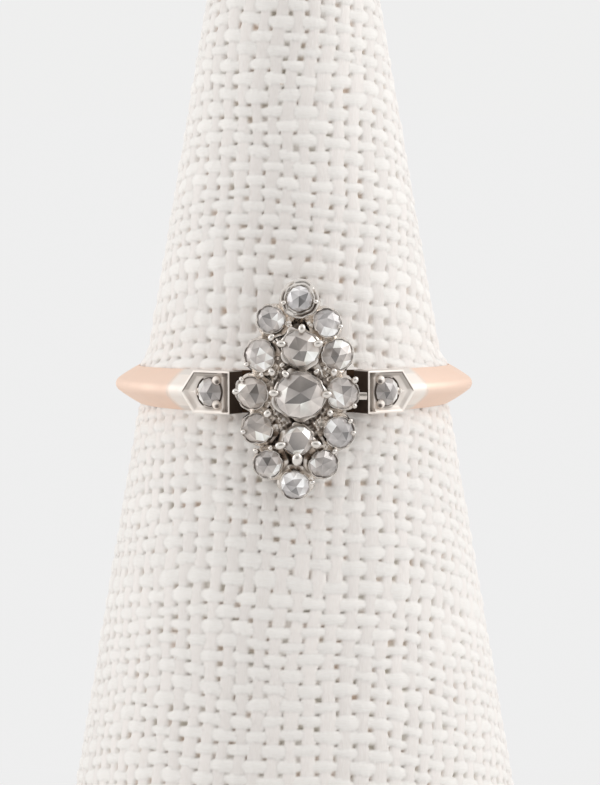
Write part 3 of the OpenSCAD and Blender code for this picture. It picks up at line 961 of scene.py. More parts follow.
@dataclass(frozen=True)
class RoseCut:
    """A rose-cut stone: a flat back, a thin girdle, cross facets up to a ring of star facets, and an apex.

    Args:
        name: The CAD node's name.
        x: Place in the frame of the cluster or plate.
        y: The same, up.
        diameter: Diameter over the girdle.
        lift: Distance of the girdle from the ring's axis.
        tilt: Outward tilt in degrees.
        turn: Turn of the facets in degrees.
        shift: How far the apex lies off the middle, as shares of the radius.
        star: Radius of the ring of star facets, as a share.
        peak: Height of the apex over that ring, as a share. At 0 the stone has a flat table.
        wall: Thickness of the metal round it.
        body: Brightness of the facets, the stone's grey with the painted light that it throws back.
        warmth: From -1, bluish, to 1, brownish.
        white: Directions in degrees of the cross facets with a painted white highlight.
        dark: Directions of the star facets with a painted dark reflection.
        flash: Directions of the star facets with a painted white highlight.
        reach: How far each corner of that ring lies out, as a share of star, or empty for an uneven sine.
        ring: How bright the cross facets are, as a share of the body.
        waver: How far the hand-cut outline strays from a circle, as a share of the radius.
    """

    name: str
    x: float
    y: float
    diameter: float
    lift: float
    tilt: float
    turn: float
    shift: tuple[float, float]
    star: float
    peak: float
    wall: float
    body: float
    warmth: float
    white: tuple[float, ...] = ()
    dark: tuple[float, ...] = ()
    flash: tuple[float, ...] = ()
    reach: tuple[float, ...] = ()
    ring: float = 1.12
    waver: float = 0.05

    # Corners of the girdle and of the ring of star facets.
    SIDES = 12
    STARS = 6
    # Thickness of the girdle in millimetres.
    GIRDLE = 0.08
    # As shares of the radius: height of the ring of stars, radius of the back, how far that ring strays.
    RISE = 0.34
    BACK = 0.97
    WOBBLE = 0.18
    # Painted light on the facets: brightness of the dark facets and of the crown, how much facets vary, how
    # much more the painted lit side has, and how much one facet's painted reflection gains from its middle
    # to a place one radius away.
    DARK = 0.36
    CROWN = 0.84
    VARIETY = 0.11
    LIT = 0.24
    RUN = 0.65
    # Degrees to each side in which a white cross facet and a named star facet are looked for.
    CROSS_NEAR = 24
    STAR_NEAR = 34
    # Tint of a stone, and what its warmth adds to it.
    TINT = (1.045, 0.985, 0.965)
    WARM = (0.09, 0.0, -0.10)

    @property
    def radius(self) -> float:
        """Half of the diameter."""
        return self.diameter / 2

    @property
    def central(self) -> bool:
        """Whether it is one of the three raised stones down the middle."""
        return self.tilt == 0

    @property
    def dished(self) -> bool:
        """Whether it has the top stone's wide and dished rim."""
        return self.wall > 0.3

    def outline(self, angle: Grid) -> Grid:
        """The hand-cut outline's radius in each direction as a share: two sines that start with the facets'
        turn."""
        start = math.radians(3 * self.turn)
        return 1 + self.waver * (0.6 * np.sin(2 * angle + start) + 0.4 * np.sin(3 * angle - 2 * start))

    def tilt_way(self) -> Grid:
        """The way in which it tilts: square to the oval of the cluster."""
        way = np.array([self.x / Cluster.WIDTH**2, self.y / Cluster.LENGTH**2])
        size = np.hypot(*way)
        return way / size if size > 0 else np.array([0.0, 1.0])

    def place(self) -> np.ndarray:
        """The stone's frame in that of the cluster, its girdle's plane at z = 0."""
        way = self.tilt_way()
        lean = np.array(Matrix.Rotation(math.radians(self.tilt), 4, Vector((-way[1], way[0], 0))))
        return moved(self.x, self.y, self.lift) @ lean

    def girdle_height(self, x: float, y: float) -> float:
        """Height of the girdle's plane at a place in the cluster's frame."""
        slope = math.tan(math.radians(self.tilt))
        return self.lift - slope * float(np.dot([x - self.x, y - self.y], self.tilt_way()))

    def corners(self) -> Grid:
        """The stone's points: two girdle rings, the ring of stars and the apex."""
        r, shift = self.radius, np.array(self.shift)
        turn = math.radians(self.turn)
        girdle = turn + np.arange(self.SIDES) * FULL_TURN / self.SIDES
        ring = np.stack([np.cos(girdle), np.sin(girdle)], axis=1) * (r * self.outline(girdle))[:, None]
        number = np.arange(self.STARS)
        star = turn + number * FULL_TURN / self.STARS
        wobble = 1 + self.WOBBLE * np.sin(2.3 * star + np.radians(40 * number))
        reach = self.star * (np.array(self.reach) if self.reach else wobble)
        stars = (np.stack([np.cos(star), np.sin(star)], axis=1) * reach[:, None] + shift / 2) * r
        levels = [(ring * self.BACK, -self.GIRDLE), (ring, 0.0), (stars, self.RISE * r)]
        if self.peak > 0:
            levels.append(((shift * r)[None], (self.RISE + self.peak) * r))
        return np.concatenate([np.column_stack([flat, np.full(len(flat), z)]) for flat, z in levels])

    def facets(self) -> list[tuple[int, ...]]:
        """The corners of each facet, in the order back, girdle, star points, star edges, other halves,
        crown."""
        g, n = self.SIDES, self.STARS
        apex = 2 * g + n
        faces: list[tuple[int, ...]] = [tuple(range(g - 1, -1, -1))]
        faces += [(i, (i + 1) % g, g + (i + 1) % g, g + i) for i in range(g)]
        faces += [(g + 2 * k, g + 2 * k + 1, 2 * g + k) for k in range(n)]
        faces += [(2 * g + k, g + 2 * k + 1, 2 * g + (k + 1) % n) for k in range(n)]
        faces += [(2 * g + (k + 1) % n, g + 2 * k + 1, g + (2 * k + 2) % g) for k in range(n)]
        if self.peak > 0:
            return faces + [(2 * g + k, 2 * g + (k + 1) % n, apex) for k in range(n)]
        return faces + [tuple(2 * g + k for k in range(n))]

    def tones(self, corners: Grid, faces: list[tuple[int, ...]], rng: np.random.Generator) -> Grid:
        """A colour for each facet: the body's brightness, varied a little, with painted light brighter on
        the side of the first white facet, or else below, then painted white highlights and dark reflections
        towards the given directions, and bluish or brownish.

        Args:
            corners: The stone's points.
            faces: The facets.
            rng: The seeded source of the variation.

        Returns:
            Colours, (facets, 3).
        """
        middle = np.array([corners[list(f)].mean(axis=0) for f in faces])
        x, y = (middle[:, i] - self.shift[i] * self.radius / 2 for i in (0, 1))
        direction = np.degrees(np.arctan2(y, x))
        crown = np.array([min(f) >= 2 * self.SIDES for f in faces])
        bright = self.body * (1 + self.VARIETY * rng.standard_normal(len(faces)).clip(-1.6, 1.6))
        lit_from = self.white[0] if self.white else -90
        bright = bright * (1 + self.LIT * np.cos(np.radians(direction - lit_from)))
        bright = np.where(crown, self.CROWN * bright, self.ring * bright)
        for directions, kind, spread, value in (
            (self.white, ~crown, self.CROSS_NEAR, 1.0),
            (self.dark, crown, self.STAR_NEAR, self.DARK * self.body),
            (self.flash, crown, self.STAR_NEAR, 1.0),
        ):
            for at in directions:
                near = np.abs((direction - at + 180) % 360 - 180) < spread
                bright = np.where(near & kind, value, bright)
        tint = np.array(self.TINT) + self.warmth * np.array(self.WARM)
        return np.clip(bright[:, None] * tint, 0.02, 1)

    def shaded(
        self, corners: Grid, faces: list[tuple[int, ...]], tones: Grid, rng: np.random.Generator
    ) -> Grid:
        """The facets' colours at each of their corners, with a painted reflection: a facet grows brighter in
        a direction of its own, by its corner's distance from its middle that way. White ones stay nearly
        white.

        Args:
            corners: The stone's points.
            faces: The facets.
            tones: Their colours.
            rng: The seeded source of the directions.

        Returns:
            Colours, (corners of all facets, 3).
        """
        counts = [len(f) for f in faces]
        flat = corners[np.concatenate(faces), :2]
        middle = np.repeat([corners[list(f), :2].mean(axis=0) for f in faces], counts, axis=0)
        towards = np.repeat(rng.random(len(faces)) * FULL_TURN, counts)
        along = (flat - middle)[:, 0] * np.cos(towards) + (flat - middle)[:, 1] * np.sin(towards)
        spread = np.repeat(tones, counts, axis=0)
        least = np.where(spread[:, 1] > 0.97, 0.96, 0.0)
        return np.clip(spread * np.maximum(1 + self.RUN * along / self.radius, least)[:, None], 0.02, 1)

    def build(self, to_world: np.ndarray, material: Material, seed: int) -> Object:
        """Makes the stone as flat facets with a tone each.

        Args:
            to_world: The frame that its place is given in.
            material: Its finish.
            seed: Seed of its facets' variation.

        Returns:
            The object.
        """
        corners, faces = self.corners(), self.facets()
        if np.linalg.det(to_world[:3, :3]) < 0:
            faces = [f[::-1] for f in faces]
        points = placed(to_world @ self.place(), corners)
        mesh = bpy.data.meshes.new(f"{self.name}_cut")
        mesh.from_pydata((points * MM).tolist(), [], faces)
        rng = np.random.default_rng(seed)
        spread = self.shaded(corners, faces, self.tones(corners, faces, rng), rng)
        opaque = np.column_stack([spread, np.ones(len(spread))]).astype(np.float32)
        layer = mesh.color_attributes.new("tone", "FLOAT_COLOR", "CORNER")
        layer.data.foreach_set("color", opaque.ravel())
        return dressed(f"{self.name}_cut", mesh, material, [self.name])


# Distance of the raised and of the outer stones' girdles from the ring's axis, the outer stones' tilt in
# degrees, and the thickness of the metal round most of the stones.
INNER = 11.85
OUTER = 11.05
LEAN = 13
WALL = 0.15
# Each stone's white, dark and flash directions place painted highlights and painted dark reflections on its
# facets.
STONES = (
    RoseCut(
        "stone_centre", 0, 0, 2.50, INNER, 0, 32, (0, 0.14), 0.70, 0.20, WALL,
        dark=(-118, -58), body=0.50, warmth=0.45, reach=(1.2, 1.13, 0.87, 1.1, 0.58, 0.72),
        ring=1.36,
    ),
    RoseCut(
        "stone_inner_top", -0.03, 2.47, 1.90, INNER, 0, 50, (-0.08, -0.12), 0.66, 0.20, WALL,
        white=(-40,), dark=(-100, -40), body=0.62, warmth=0.55, reach=(0.95, 1.2, 1.0, 1.0, 1.05, 0.6),
    ),
    RoseCut(
        "stone_inner_bottom", -0.04, -2.39, 1.50, INNER, 0, 8, (0, 0), 0.72, 0.0, WALL,
        white=(55, 125, -90), body=0.40, warmth=0.5, ring=1.5,
    ),
    RoseCut(
        "stone_1", -0.13, 5.05, 1.36, OUTER, 17, -32, (-0.05, 0.05), 0.70, 0.20, 0.40,
        white=(130,), dark=(-2, -62), body=0.66, warmth=-0.2,
    ),
    RoseCut(
        "stone_2", 1.37, 3.82, 1.47, OUTER, LEAN, 60, (-0.15, 0.30), 0.60, 0.20, WALL,
        white=(-100, -65), body=0.58, warmth=0.0,
    ),
    RoseCut(
        "stone_3", 1.95, 2.15, 1.62, OUTER, LEAN, 10, (-0.05, -0.05), 0.55, 0.22, WALL,
        white=(-50, 80), dark=(-140,), body=0.50, warmth=0.5,
    ),
    RoseCut(
        "stone_4", 2.26, 0.11, 1.66, OUTER, LEAN, 40, (-0.12, -0.05), 0.66, 0.20, WALL,
        white=(-140,), dark=(70,), body=0.62, warmth=0.4, flash=(-170, -110),
    ),
    RoseCut(
        "stone_5", 2.15, -1.95, 1.60, OUTER, LEAN, 65, (0.05, 0.05), 0.60, 0.20, WALL,
        white=(150,), dark=(-25,), body=0.61, warmth=0.0,
    ),
    RoseCut(
        "stone_6", 1.36, -3.65, 1.47, OUTER, LEAN, 25, (-0.25, 0.05), 0.66, 0.22, WALL,
        white=(160,), body=0.56, warmth=0.3,
    ),
    RoseCut(
        "stone_7", -0.13, -4.79, 1.50, OUTER, LEAN, 52, (0.10, 0.02), 0.64, 0.20, 0.18,
        white=(60, 170), dark=(-98,), body=0.74, warmth=-0.1, flash=(22,),
    ),
    RoseCut(
        "stone_8", -1.58, -3.72, 1.45, OUTER, LEAN, 5, (0.05, -0.05), 0.68, 0.18, WALL,
        white=(-20, -60), dark=(95,), body=0.60, warmth=0.35,
    ),
    RoseCut(
        "stone_9", -2.21, -1.85, 1.56, OUTER, LEAN, 33, (0.0, -0.10), 0.60, 0.20, WALL,
        white=(-50,), body=0.52, warmth=0.7, flash=(-57,),
    ),
    RoseCut(
        "stone_10", -2.52, 0.03, 1.66, OUTER, LEAN, 58, (-0.05, 0), 0.66, 0.18, WALL,
        white=(170,), dark=(28, -32), body=0.56, warmth=0.7,
    ),
    RoseCut(
        "stone_11", -2.15, 2.02, 1.60, OUTER, LEAN, 80, (-0.10, -0.05), 0.58, 0.22, WALL,
        white=(-60,), body=0.66, warmth=0.35, flash=(50,),
    ),
    RoseCut(
        "stone_12", -1.62, 3.92, 1.42, OUTER, LEAN, 45, (0.15, -0.02), 0.62, 0.20, WALL,
        white=(-10,), dark=(135,), body=0.58, warmth=0.2, flash=(15,),
    ),
)


@dataclass(frozen=True)
class Bead:
    """A bead on its claw.

    Args:
        x: Place in the cluster's frame.
        y: The same, up.
        radius: Its radius.
        stone: The stone whose height it takes, by its place in the list.
        sunk: How far it lies below that height.
    """

    x: float
    y: float
    radius: float
    stone: int
    sunk: float = 0.0


BEADS = tuple(Bead(*row) for row in (
    (0.01, 3.52, 0.20, 1), (-1.07, 2.70, 0.20, 1), (0.90, 2.75, 0.20, 1), (-0.80, 1.12, 0.18, 0),
    (-1.40, 0.10, 0.21, 0), (1.42, 0.09, 0.21, 0), (-0.98, -2.65, 0.22, 2), (0.92, -2.55, 0.22, 2),
    (-0.07, -3.38, 0.28, 2), (-1.55, 3.01, 0.18, 13), (-1.47, 1.14, 0.21, 13), (-1.65, -0.99, 0.22, 11),
    (1.75, 1.20, 0.20, 5), (1.60, -0.90, 0.18, 7), (-3.08, 0.74, 0.13, 12), (-3.38, 0.07, 0.17, 12),
    (2.92, 0.84, 0.17, 6), (2.92, -0.54, 0.13, 6), (2.72, -1.34, 0.13, 7), (2.91, -1.97, 0.13, 7),
    (-2.93, -2.05, 0.13, 11), (1.92, -2.95, 0.14, 8), (-2.26, -3.02, 0.14, 10), (0.78, -4.62, 0.13, 9),
    (-2.85, 1.52, 0.13, 13), (-0.98, 4.82, 0.12, 3, 0.06), (0.74, 4.92, 0.12, 3, 0.04),
    (2.08, 3.63, 0.13, 4), (-0.05, 3.98, 0.17, 3, 0.55), (-0.62, 3.62, 0.15, 14, 0.45),
    (0.55, 3.66, 0.16, 4, 0.40), (-1.52, 1.62, 0.14, 13, 0.55), (1.32, 1.42, 0.17, 5, 0.40),
    (-0.98, 1.55, 0.13, 1, 0.60), (-1.58, -1.55, 0.15, 11, 0.60), (-1.12, -1.45, 0.12, 2, 0.85),
    (1.28, -1.48, 0.16, 7, 0.55), (1.20, -3.00, 0.14, 8, 0.50), (-1.45, -2.86, 0.15, 10, 0.35),
    (-0.62, -3.78, 0.13, 10, 0.70), (0.50, -3.80, 0.14, 8, 0.60), (0.85, 1.28, 0.14, 0, 0.50),
    (-2.02, 0.98, 0.14, 13, 0.20),
))


# The cluster


@dataclass
class Cluster:
    """The head of the ring: a gallery plate, a collet for each stone, claws with beads, a pedestal and a
    short bar.

    Args:
        place: The ring's frame.
        band: Radius over the plain band that it stands on.
        gallery_foot: Underside of the gallery plate, from the ring's axis.
        gallery_thickness: Its thickness.
        dome: How far the solder and the claws' roots fill the middle above it.
        foot_share: A collet's foot, as a share of its stone's radius, and a claw's, as a share of its
            distance.
        bead_rise: Height of a bead's middle above the girdle.
        claw_share: A claw's radius, as a share of its bead's.
        pedestal: Width and height of the block under the gallery.
        strut: Start, length, width and height of the bar to the right shoulder.
    """

    # Size of the gallery plate.
    WIDTH = 5.2
    LENGTH = 11.0
    # Rings and columns of that plate, columns of a collet and of a claw, and rows inside a collet.
    RINGS = 80
    PLATE_COLUMNS = 280
    COLLET_COLUMNS = 120
    CLAW_COLUMNS = 22
    INSIDE_ROWS = 5
    # Sections of the rims: distance outside the stone's edge and height over its girdle.
    DISHED_RIM = ((0.02, -0.01), (0.05, -0.07), (0.10, 0.0), (0.16, -0.005), (0.21, -0.08))
    RAISED_RIM = (
        (0.008, -0.04), (0.016, -0.01), (0.028, -0.015), (0.036, -0.05), (0.03, -0.16), (0.035, -0.24)
    )
    OUTER_RIM = ((0.028, 0.0), (0.042, 0.045), (0.062, 0.04), (0.085, -0.03), (0.095, -0.14), (0.14, -0.19))
    # Hollows between the collets, dark with patina and painted shade and browner: place, half width and half
    # height.
    HOLLOWS = ((-0.12, -3.57, 1.0, 0.8), (-1.3, -2.2, 0.36, 0.9), (1.16, -1.7, 0.34, 0.9))
    # The way towards the beads' painted shade.
    PAINTED_SHADE_WAY = (0.62, -0.74, -0.26)
    # How steeply the bar's ends are cut: the way along it for each millimetre across.
    SLANT = 0.675

    place: RingFrame
    band: float = 9.0
    gallery_foot: float = 9.55
    gallery_thickness: float = 0.4
    dome: float = 1.2
    foot_share: float = 0.62
    bead_rise: float = 0.16
    claw_share: float = 0.75
    pedestal: tuple[float, float] = (3.8, 1.5)
    strut: tuple[float, float, float, float] = (1.5, 2.14, 0.42, 0.4)

    @property
    def root(self) -> float:
        """Height of the middle of the gallery plate, in which collets and claws are rooted."""
        return self.gallery_foot + self.gallery_thickness / 2

    def drop(self, stone: RoseCut) -> float:
        """Length of a collet from its stone's girdle down to its root."""
        return (stone.lift - self.root) / math.cos(math.radians(stone.tilt))

    def middle(self, bead: Bead) -> Grid:
        """The middle of a bead, a little over its stone's girdle."""
        level = STONES[bead.stone].girdle_height(bead.x, bead.y)
        return np.array([bead.x, bead.y, level + self.bead_rise - bead.sunk])

    def collet(self, stone: RoseCut) -> Shell:
        """A flared cup: up from the bottom of the seat to the ledge under the stone, over a thin rim, and
        down the outside to a narrower foot. The rim rises and swells a little as a sum of two sines, and
        small prongs of it lie on the stone. A step below it, over flutes, spreads towards the middle of
        the cluster, where the collets meet. The top stone has a wide dished rim."""
        r, drop, wide, central = stone.radius, self.drop(stone), stone.dished, stone.central
        flutes, count, prongs = (0.04, 13, 4) if wide else (0.06, 9, 7)
        start, way = stone.turn, stone.tilt_way()

        def uneven(radius: Grid, height: Grid, angle: Grid) -> tuple[Grid, Grid]:
            """Hand-cut unevenness of the rim, and flutes below it."""
            outside = np.arange(len(radius))[:, None] > self.INSIDE_ROWS
            below = eased(height, -0.05, -0.25) * (radius > 0.3 * r) * outside
            on_rim = eased(height, -0.1, 0.0) * (radius > r - 0.01)
            sway = 0.6 * np.sin(3 * angle + start) + 0.4 * np.sin(7 * angle + 2 * start)
            prong = (0.5 + 0.5 * np.cos(prongs * angle + 3 * start)) ** 5 * on_rim
            leaf = 0.35 + 0.65 * np.maximum(0, np.sin(4 * angle + start + np.sin(3 * angle)))
            inwards = leaf if central else 0.5 - 0.5 * (np.cos(angle) * way[0] + np.sin(angle) * way[1])
            skirt = 0.22 * eased(height, -0.26, -0.36) * eased(height, -drop, -0.7 * drop)
            skirt = skirt * (radius > 0.7 * r) * outside
            waver = 1 + (stone.outline(angle) - 1) * eased(height, -0.75, -0.5)
            fluted = 1 - flutes * below * (0.5 - 0.5 * np.cos(count * angle + start))
            radius = waver * radius * fluted + skirt * inwards
            prong = prong * (0.3 if central else 1.0)
            crease = wide * np.isin(np.arange(len(radius)), (6, 9))[:, None] * (1 - self.crease_at(angle))
            bend = 0.015 * wide * on_rim * np.sin(2 * angle + 1.5 * np.sin(3 * angle))
            height = height + 0.06 * crease - bend
            radius = radius + 0.014 * on_rim * sway - 0.05 * prong
            return radius, height + 0.02 * on_rim * sway + 0.035 * prong

        return Shell.revolved(self.section(stone), self.COLLET_COLUMNS, uneven).at(stone.place())

    def section(self, stone: RoseCut) -> Grid:
        """A collet's section as pairs of radius and height: up inside, over the rim and down to the foot."""
        r, drop = stone.radius, self.drop(stone)
        out = r + (stone.wall - 0.02 if stone.dished else 0.05 if stone.central else 0.17)
        inside = [(0, -0.42), (0.62 * r, -0.42), (0.84 * r, -0.11), (r - 0.012, -0.105), (r - 0.006, -0.01)]
        if stone.dished:
            rim, step = self.DISHED_RIM, [(out - 0.06, 0.05), (out, 0.03)]
        elif stone.central:
            rim, step = self.RAISED_RIM, [(out, -0.28), (out, -0.36)]
        else:
            rim, step = self.OUTER_RIM, [(out, -0.24), (out, -0.32)]
        over = [(r + far, height) for far, height in rim]
        share = np.linspace(0.4, 1, 8)
        wall = list(zip(out + (r * self.foot_share - out) * (share - 0.38) / 0.62, -drop * share))
        return np.array([*inside, *over, *step, *wall, (0, -drop)])

    @staticmethod
    def crease_at(angle: Grid) -> Grid:
        """How marked the creases of the top stone's dish are in each direction: most at the lower right and
        the left."""
        right, left = eased(np.cos(angle + 0.75), 0.35, 0.9), eased(np.cos(angle - 3.25), 0.7, 0.95)
        return np.maximum(right, 0.75 * left)

    @classmethod
    def groove(cls, stone: RoseCut, points: int) -> Grid:
        """How much painted shade a collet takes in the groove between its rim and the stone, in a number
        that changes round it, on the step below the rim of an inner stone, and in patches of the top stone's
        dish.

        Args:
            stone: The stone.
            points: How many points the collet has.

        Returns:
            Numbers from 0 to 1 for its points.
        """
        columns = cls.COLLET_COLUMNS
        rows = np.arange(points // columns)[:, None]
        angle = np.arange(columns)[None] * FULL_TURN / columns
        round_it = 0.5 + 0.5 * np.sin(2 * angle + 3 * stone.turn + 0.8 * np.sin(5 * angle))
        dark = np.isin(rows, (4, 5)) * (0.1 + 0.75 * round_it)
        if stone.central:
            dark = dark + np.isin(rows, (9, 10, 11)) * (0.35 + 0.45 * round_it)
        if stone.dished:
            arcs = cls.crease_at(angle)
            for row, least, more in ((6, 0.12, 0.5), (8, 0.0, 0.25), (9, 0.05, 0.8)):
                dark = dark + (rows == row) * (least + more * arcs)
        return dark.clip(0, 1).ravel()

    def claw(self, bead: Bead) -> Shell:
        """A bead on a claw that leans against its collet: a thin round bar with a ball on it, carried round
        the line from its foot to the bead, then flattened a little and drawn out towards its stone."""
        stone, top = STONES[bead.stone], self.middle(bead)
        sunk = stone.tilt_way() * math.sin(math.radians(stone.tilt)) * self.drop(stone)
        from_stone = np.array([bead.x - stone.x, bead.y - stone.y])
        foot = np.array([stone.x, stone.y]) - sunk + from_stone * self.foot_share
        rise = top - (*foot, self.root)
        length, r = float(np.linalg.norm(rise)), bead.radius
        joint = -math.degrees(math.acos(self.claw_share))
        ball = arc((0, length), r, joint, 90, 12)
        ball[:, 1] = length + (ball[:, 1] - length) * 0.85
        bar = np.array([(0, 0), (0.8 * r, 0), (self.claw_share * r, 0.5 * length)])
        lean = np.array(Vector((0, 0, 1)).rotation_difference(Vector(rise)).to_matrix().to_4x4())
        place = moved(*foot, self.root) @ lean
        claw = Shell.revolved(np.concatenate([bar, ball]), self.CLAW_COLUMNS).at(place)
        way = np.array([stone.x - bead.x, stone.y - bead.y, 0.0])
        way /= np.linalg.norm(way)
        from_top = claw.points - top
        near = eased(np.linalg.norm(from_top, axis=1), 1.5 * r, 1.1 * r)
        drawn = 0.36 if stone.central else 0.2
        claw.points += (near * (0.1 * r + drawn * from_top @ way))[:, None] * way
        return claw

    def gallery(self) -> Shell:
        """A pointed oval plate with rounded edges: two circles' meeting, as a distance from the middle in
        each direction, carried over the plate's edge. Its top swells up in the middle and is lumpy, as the
        product of two bent sines, for the roots of claws and drops of solder on it."""
        angle = np.linspace(0, FULL_TURN, self.PLATE_COLUMNS, endpoint=False)
        half_l, half_w = self.LENGTH / 2, self.WIDTH / 2
        circle = (half_l**2 + half_w**2) / (2 * half_w)
        side = np.abs(np.cos(angle)) * (circle - half_w)
        reach = -side + np.sqrt(side**2 + circle**2 - (circle - half_w) ** 2)
        half = self.gallery_thickness / 2
        edge = arc((0, 0), 1, 90, -90, 9)
        inner = np.linspace(0, 0.9, self.RINGS)
        shares = [*inner, *(1 - 0.08 + 0.08 * edge[:, 0]), 0.5, 0]
        levels = [*(half + 0 * inner), *(half * edge[:, 1]), -half, -half]
        radius = np.array(shares)[:, None] * reach
        height = np.array(levels)[:, None] + 0 * reach + self.gallery_foot + half
        x, y = radius[: self.RINGS] * np.cos(angle), radius[: self.RINGS] * np.sin(angle)
        lumps = np.sin(7.1 * x + 2.3 * np.sin(1.9 * y)) * np.sin(6.3 * y + 1.7 * np.sin(2.3 * x))
        lumps = lumps + 0.5 * np.sin(11 * x + 9 * y)
        solder = 0.22 * np.maximum(lumps, -0.4) * eased(inner, 0.9, 0.8)[:, None]
        height[: self.RINGS] += solder + self.dome * eased(inner, 0.84, 0.5)[:, None]
        return Shell.of_grid(polar(radius, angle, height), wrap=True)

    def block(self) -> Shell:
        """The pedestal, whose underside is hollowed to the plain band: the square root of the band's radius
        squared less the place across it squared."""
        half_x, half_y = self.pedestal[0] / 2, self.pedestal[1] / 2
        x, y = np.meshgrid(np.linspace(-half_x, half_x, 25), np.linspace(-half_y, half_y, 7))
        top = np.full_like(x, self.gallery_foot + 0.1)
        hollow = np.sqrt((self.band + 0.01) ** 2 - x**2)
        return Shell.slab(*(np.stack([x, y, height], axis=-1) for height in (top, hollow)))

    def bar(self) -> Shell:
        """The short bar at the right: a rounded section carried along x, cut slanting where it meets the
        plate."""
        start, length, width, height = self.strut
        corner = np.array([[1, 0.3], [0.92, 0.8], [0.6, 1]])
        quarter = np.concatenate([corner, corner[::-1] * (-1, 1)])
        loop = np.concatenate([quarter, -quarter]) * (width / 2, height / 2)
        level = self.band + 0.08 + height / 2
        share = np.linspace(0, 1, 8)[:, None]
        x = start + share * (length - self.SLANT * height / 2 + self.SLANT * loop[:, 1])
        rows = np.stack([x, -0.1 + loop[:, 0] + 0 * x, level + loop[:, 1] + 0 * x], axis=-1)
        first, last = (np.broadcast_to(row.mean(axis=0), row.shape)[None] for row in (rows[0], rows[-1]))
        return Shell.of_grid(np.concatenate([first, rows, last]), wrap=True)

    def tarnish_and_shade(self, shells: Sequence[Shell]) -> dict[str, Grid]:
        """The dark of patina and painted shade, and the brown tint: in clouds deep between the collets, most
        of all below the centre and in the hollows, with painted shade round the collets on the plate, in the
        grooves round the stones and on one side of the beads.

        Args:
            shells: The plate, the pedestal, the bar, the collets and the claws, in the cluster's frame.

        Returns:
            The dark mark of patina and painted shade, and the mark "tint".
        """
        x, y, out = Shell.joined(shells).points.T
        tops = [self.gallery_foot + 1.2] * 3 + [s.lift for s in STONES]
        tops += [STONES[b.stone].lift for b in BEADS]
        deep = np.concatenate([np.full(len(s.points), top) for s, top in zip(shells, tops)]) - out
        cloud = 0.6 * np.sin(3.1 * x + 1.7 * y) * np.sin(2.3 * y - 1.9 * x)
        cloud = cloud + 0.4 * np.sin(9 * x + 2 * np.sin(7 * y))
        # Patina and painted shade deep between the collets, darker towards the bottom.
        below = eased(y, -0.5, -1.5)
        patina_and_shade = eased(deep, 0.4, 1.3) * (0.38 + 0.27 * below + 0.25 * cloud)
        tint = eased(deep, 0.3, 0.8) * (0.28 + 0.2 * below + 0.35 * eased(y, 3.2, 3.7) - 0.2 * cloud)
        tint = np.maximum(0.12, tint)
        ends = np.cumsum([len(s.points) for s in shells])
        own = [slice(end - len(s.points), end) for s, end in zip(shells, ends)]
        plate, _, bar = own[:3]
        # Painted shade round the foot of each collet on the plate.
        for stone in STONES:
            from_collet = np.hypot(x[plate] - stone.x, y[plate] - stone.y) - stone.radius
            crease = eased(from_collet, 0.40, 0.22) * (out[plate] > self.gallery_foot + 0.5)
            patina_and_shade[plate] = np.maximum(patina_and_shade[plate], 0.7 * crease)
        # Less painted shade near the top stone.
        patina_and_shade *= 1 - 0.45 * eased(y, 3.0, 3.5) * eased(y, 4.6, 4.2)
        # Patina and painted shade in the hollows, browner there.
        for at_x, at_y, half_x, half_y in self.HOLLOWS:
            far = np.hypot((x - at_x) / half_x, (y - at_y) / half_y)
            hollow = eased(far, 1.25, 0.8) * eased(deep, 0.04, 0.2)
            patina_and_shade, tint = np.maximum(patina_and_shade, 0.82 * hollow), np.maximum(tint, 0.8 * hollow)
        patina_and_shade[bar], tint[bar] = 0.0, 0.3
        # Painted shade in the grooves round the stones.
        for part, stone in zip(own[3:], STONES):
            patina_and_shade[part] = np.maximum(patina_and_shade[part], self.groove(stone, part.stop - part.start))
        # Painted shade on one side of each bead.
        for part, bead, claw in zip(own[-len(BEADS) :], BEADS, shells[-len(BEADS) :]):
            away = (claw.points - self.middle(bead)) @ self.PAINTED_SHADE_WAY / bead.radius
            patina_and_shade[part] = np.maximum(patina_and_shade[part], 0.6 * eased(away, 0.45, 0.9))
        return {"patina_and_shade": patina_and_shade, "tint": tint}

    def build(self, material: Material) -> Object:
        """Makes the head."""
        shells = [self.gallery(), self.block(), self.bar()]
        shells += [self.collet(s) for s in STONES] + [self.claw(b) for b in BEADS]
        marks = self.tarnish_and_shade(shells)
        whole = [s.at(self.place.head()) for s in shells]
        return Piece("cluster_head", whole, "white_metal", ["head"], marks, sharp=40).build(material)


# The linen on the cone


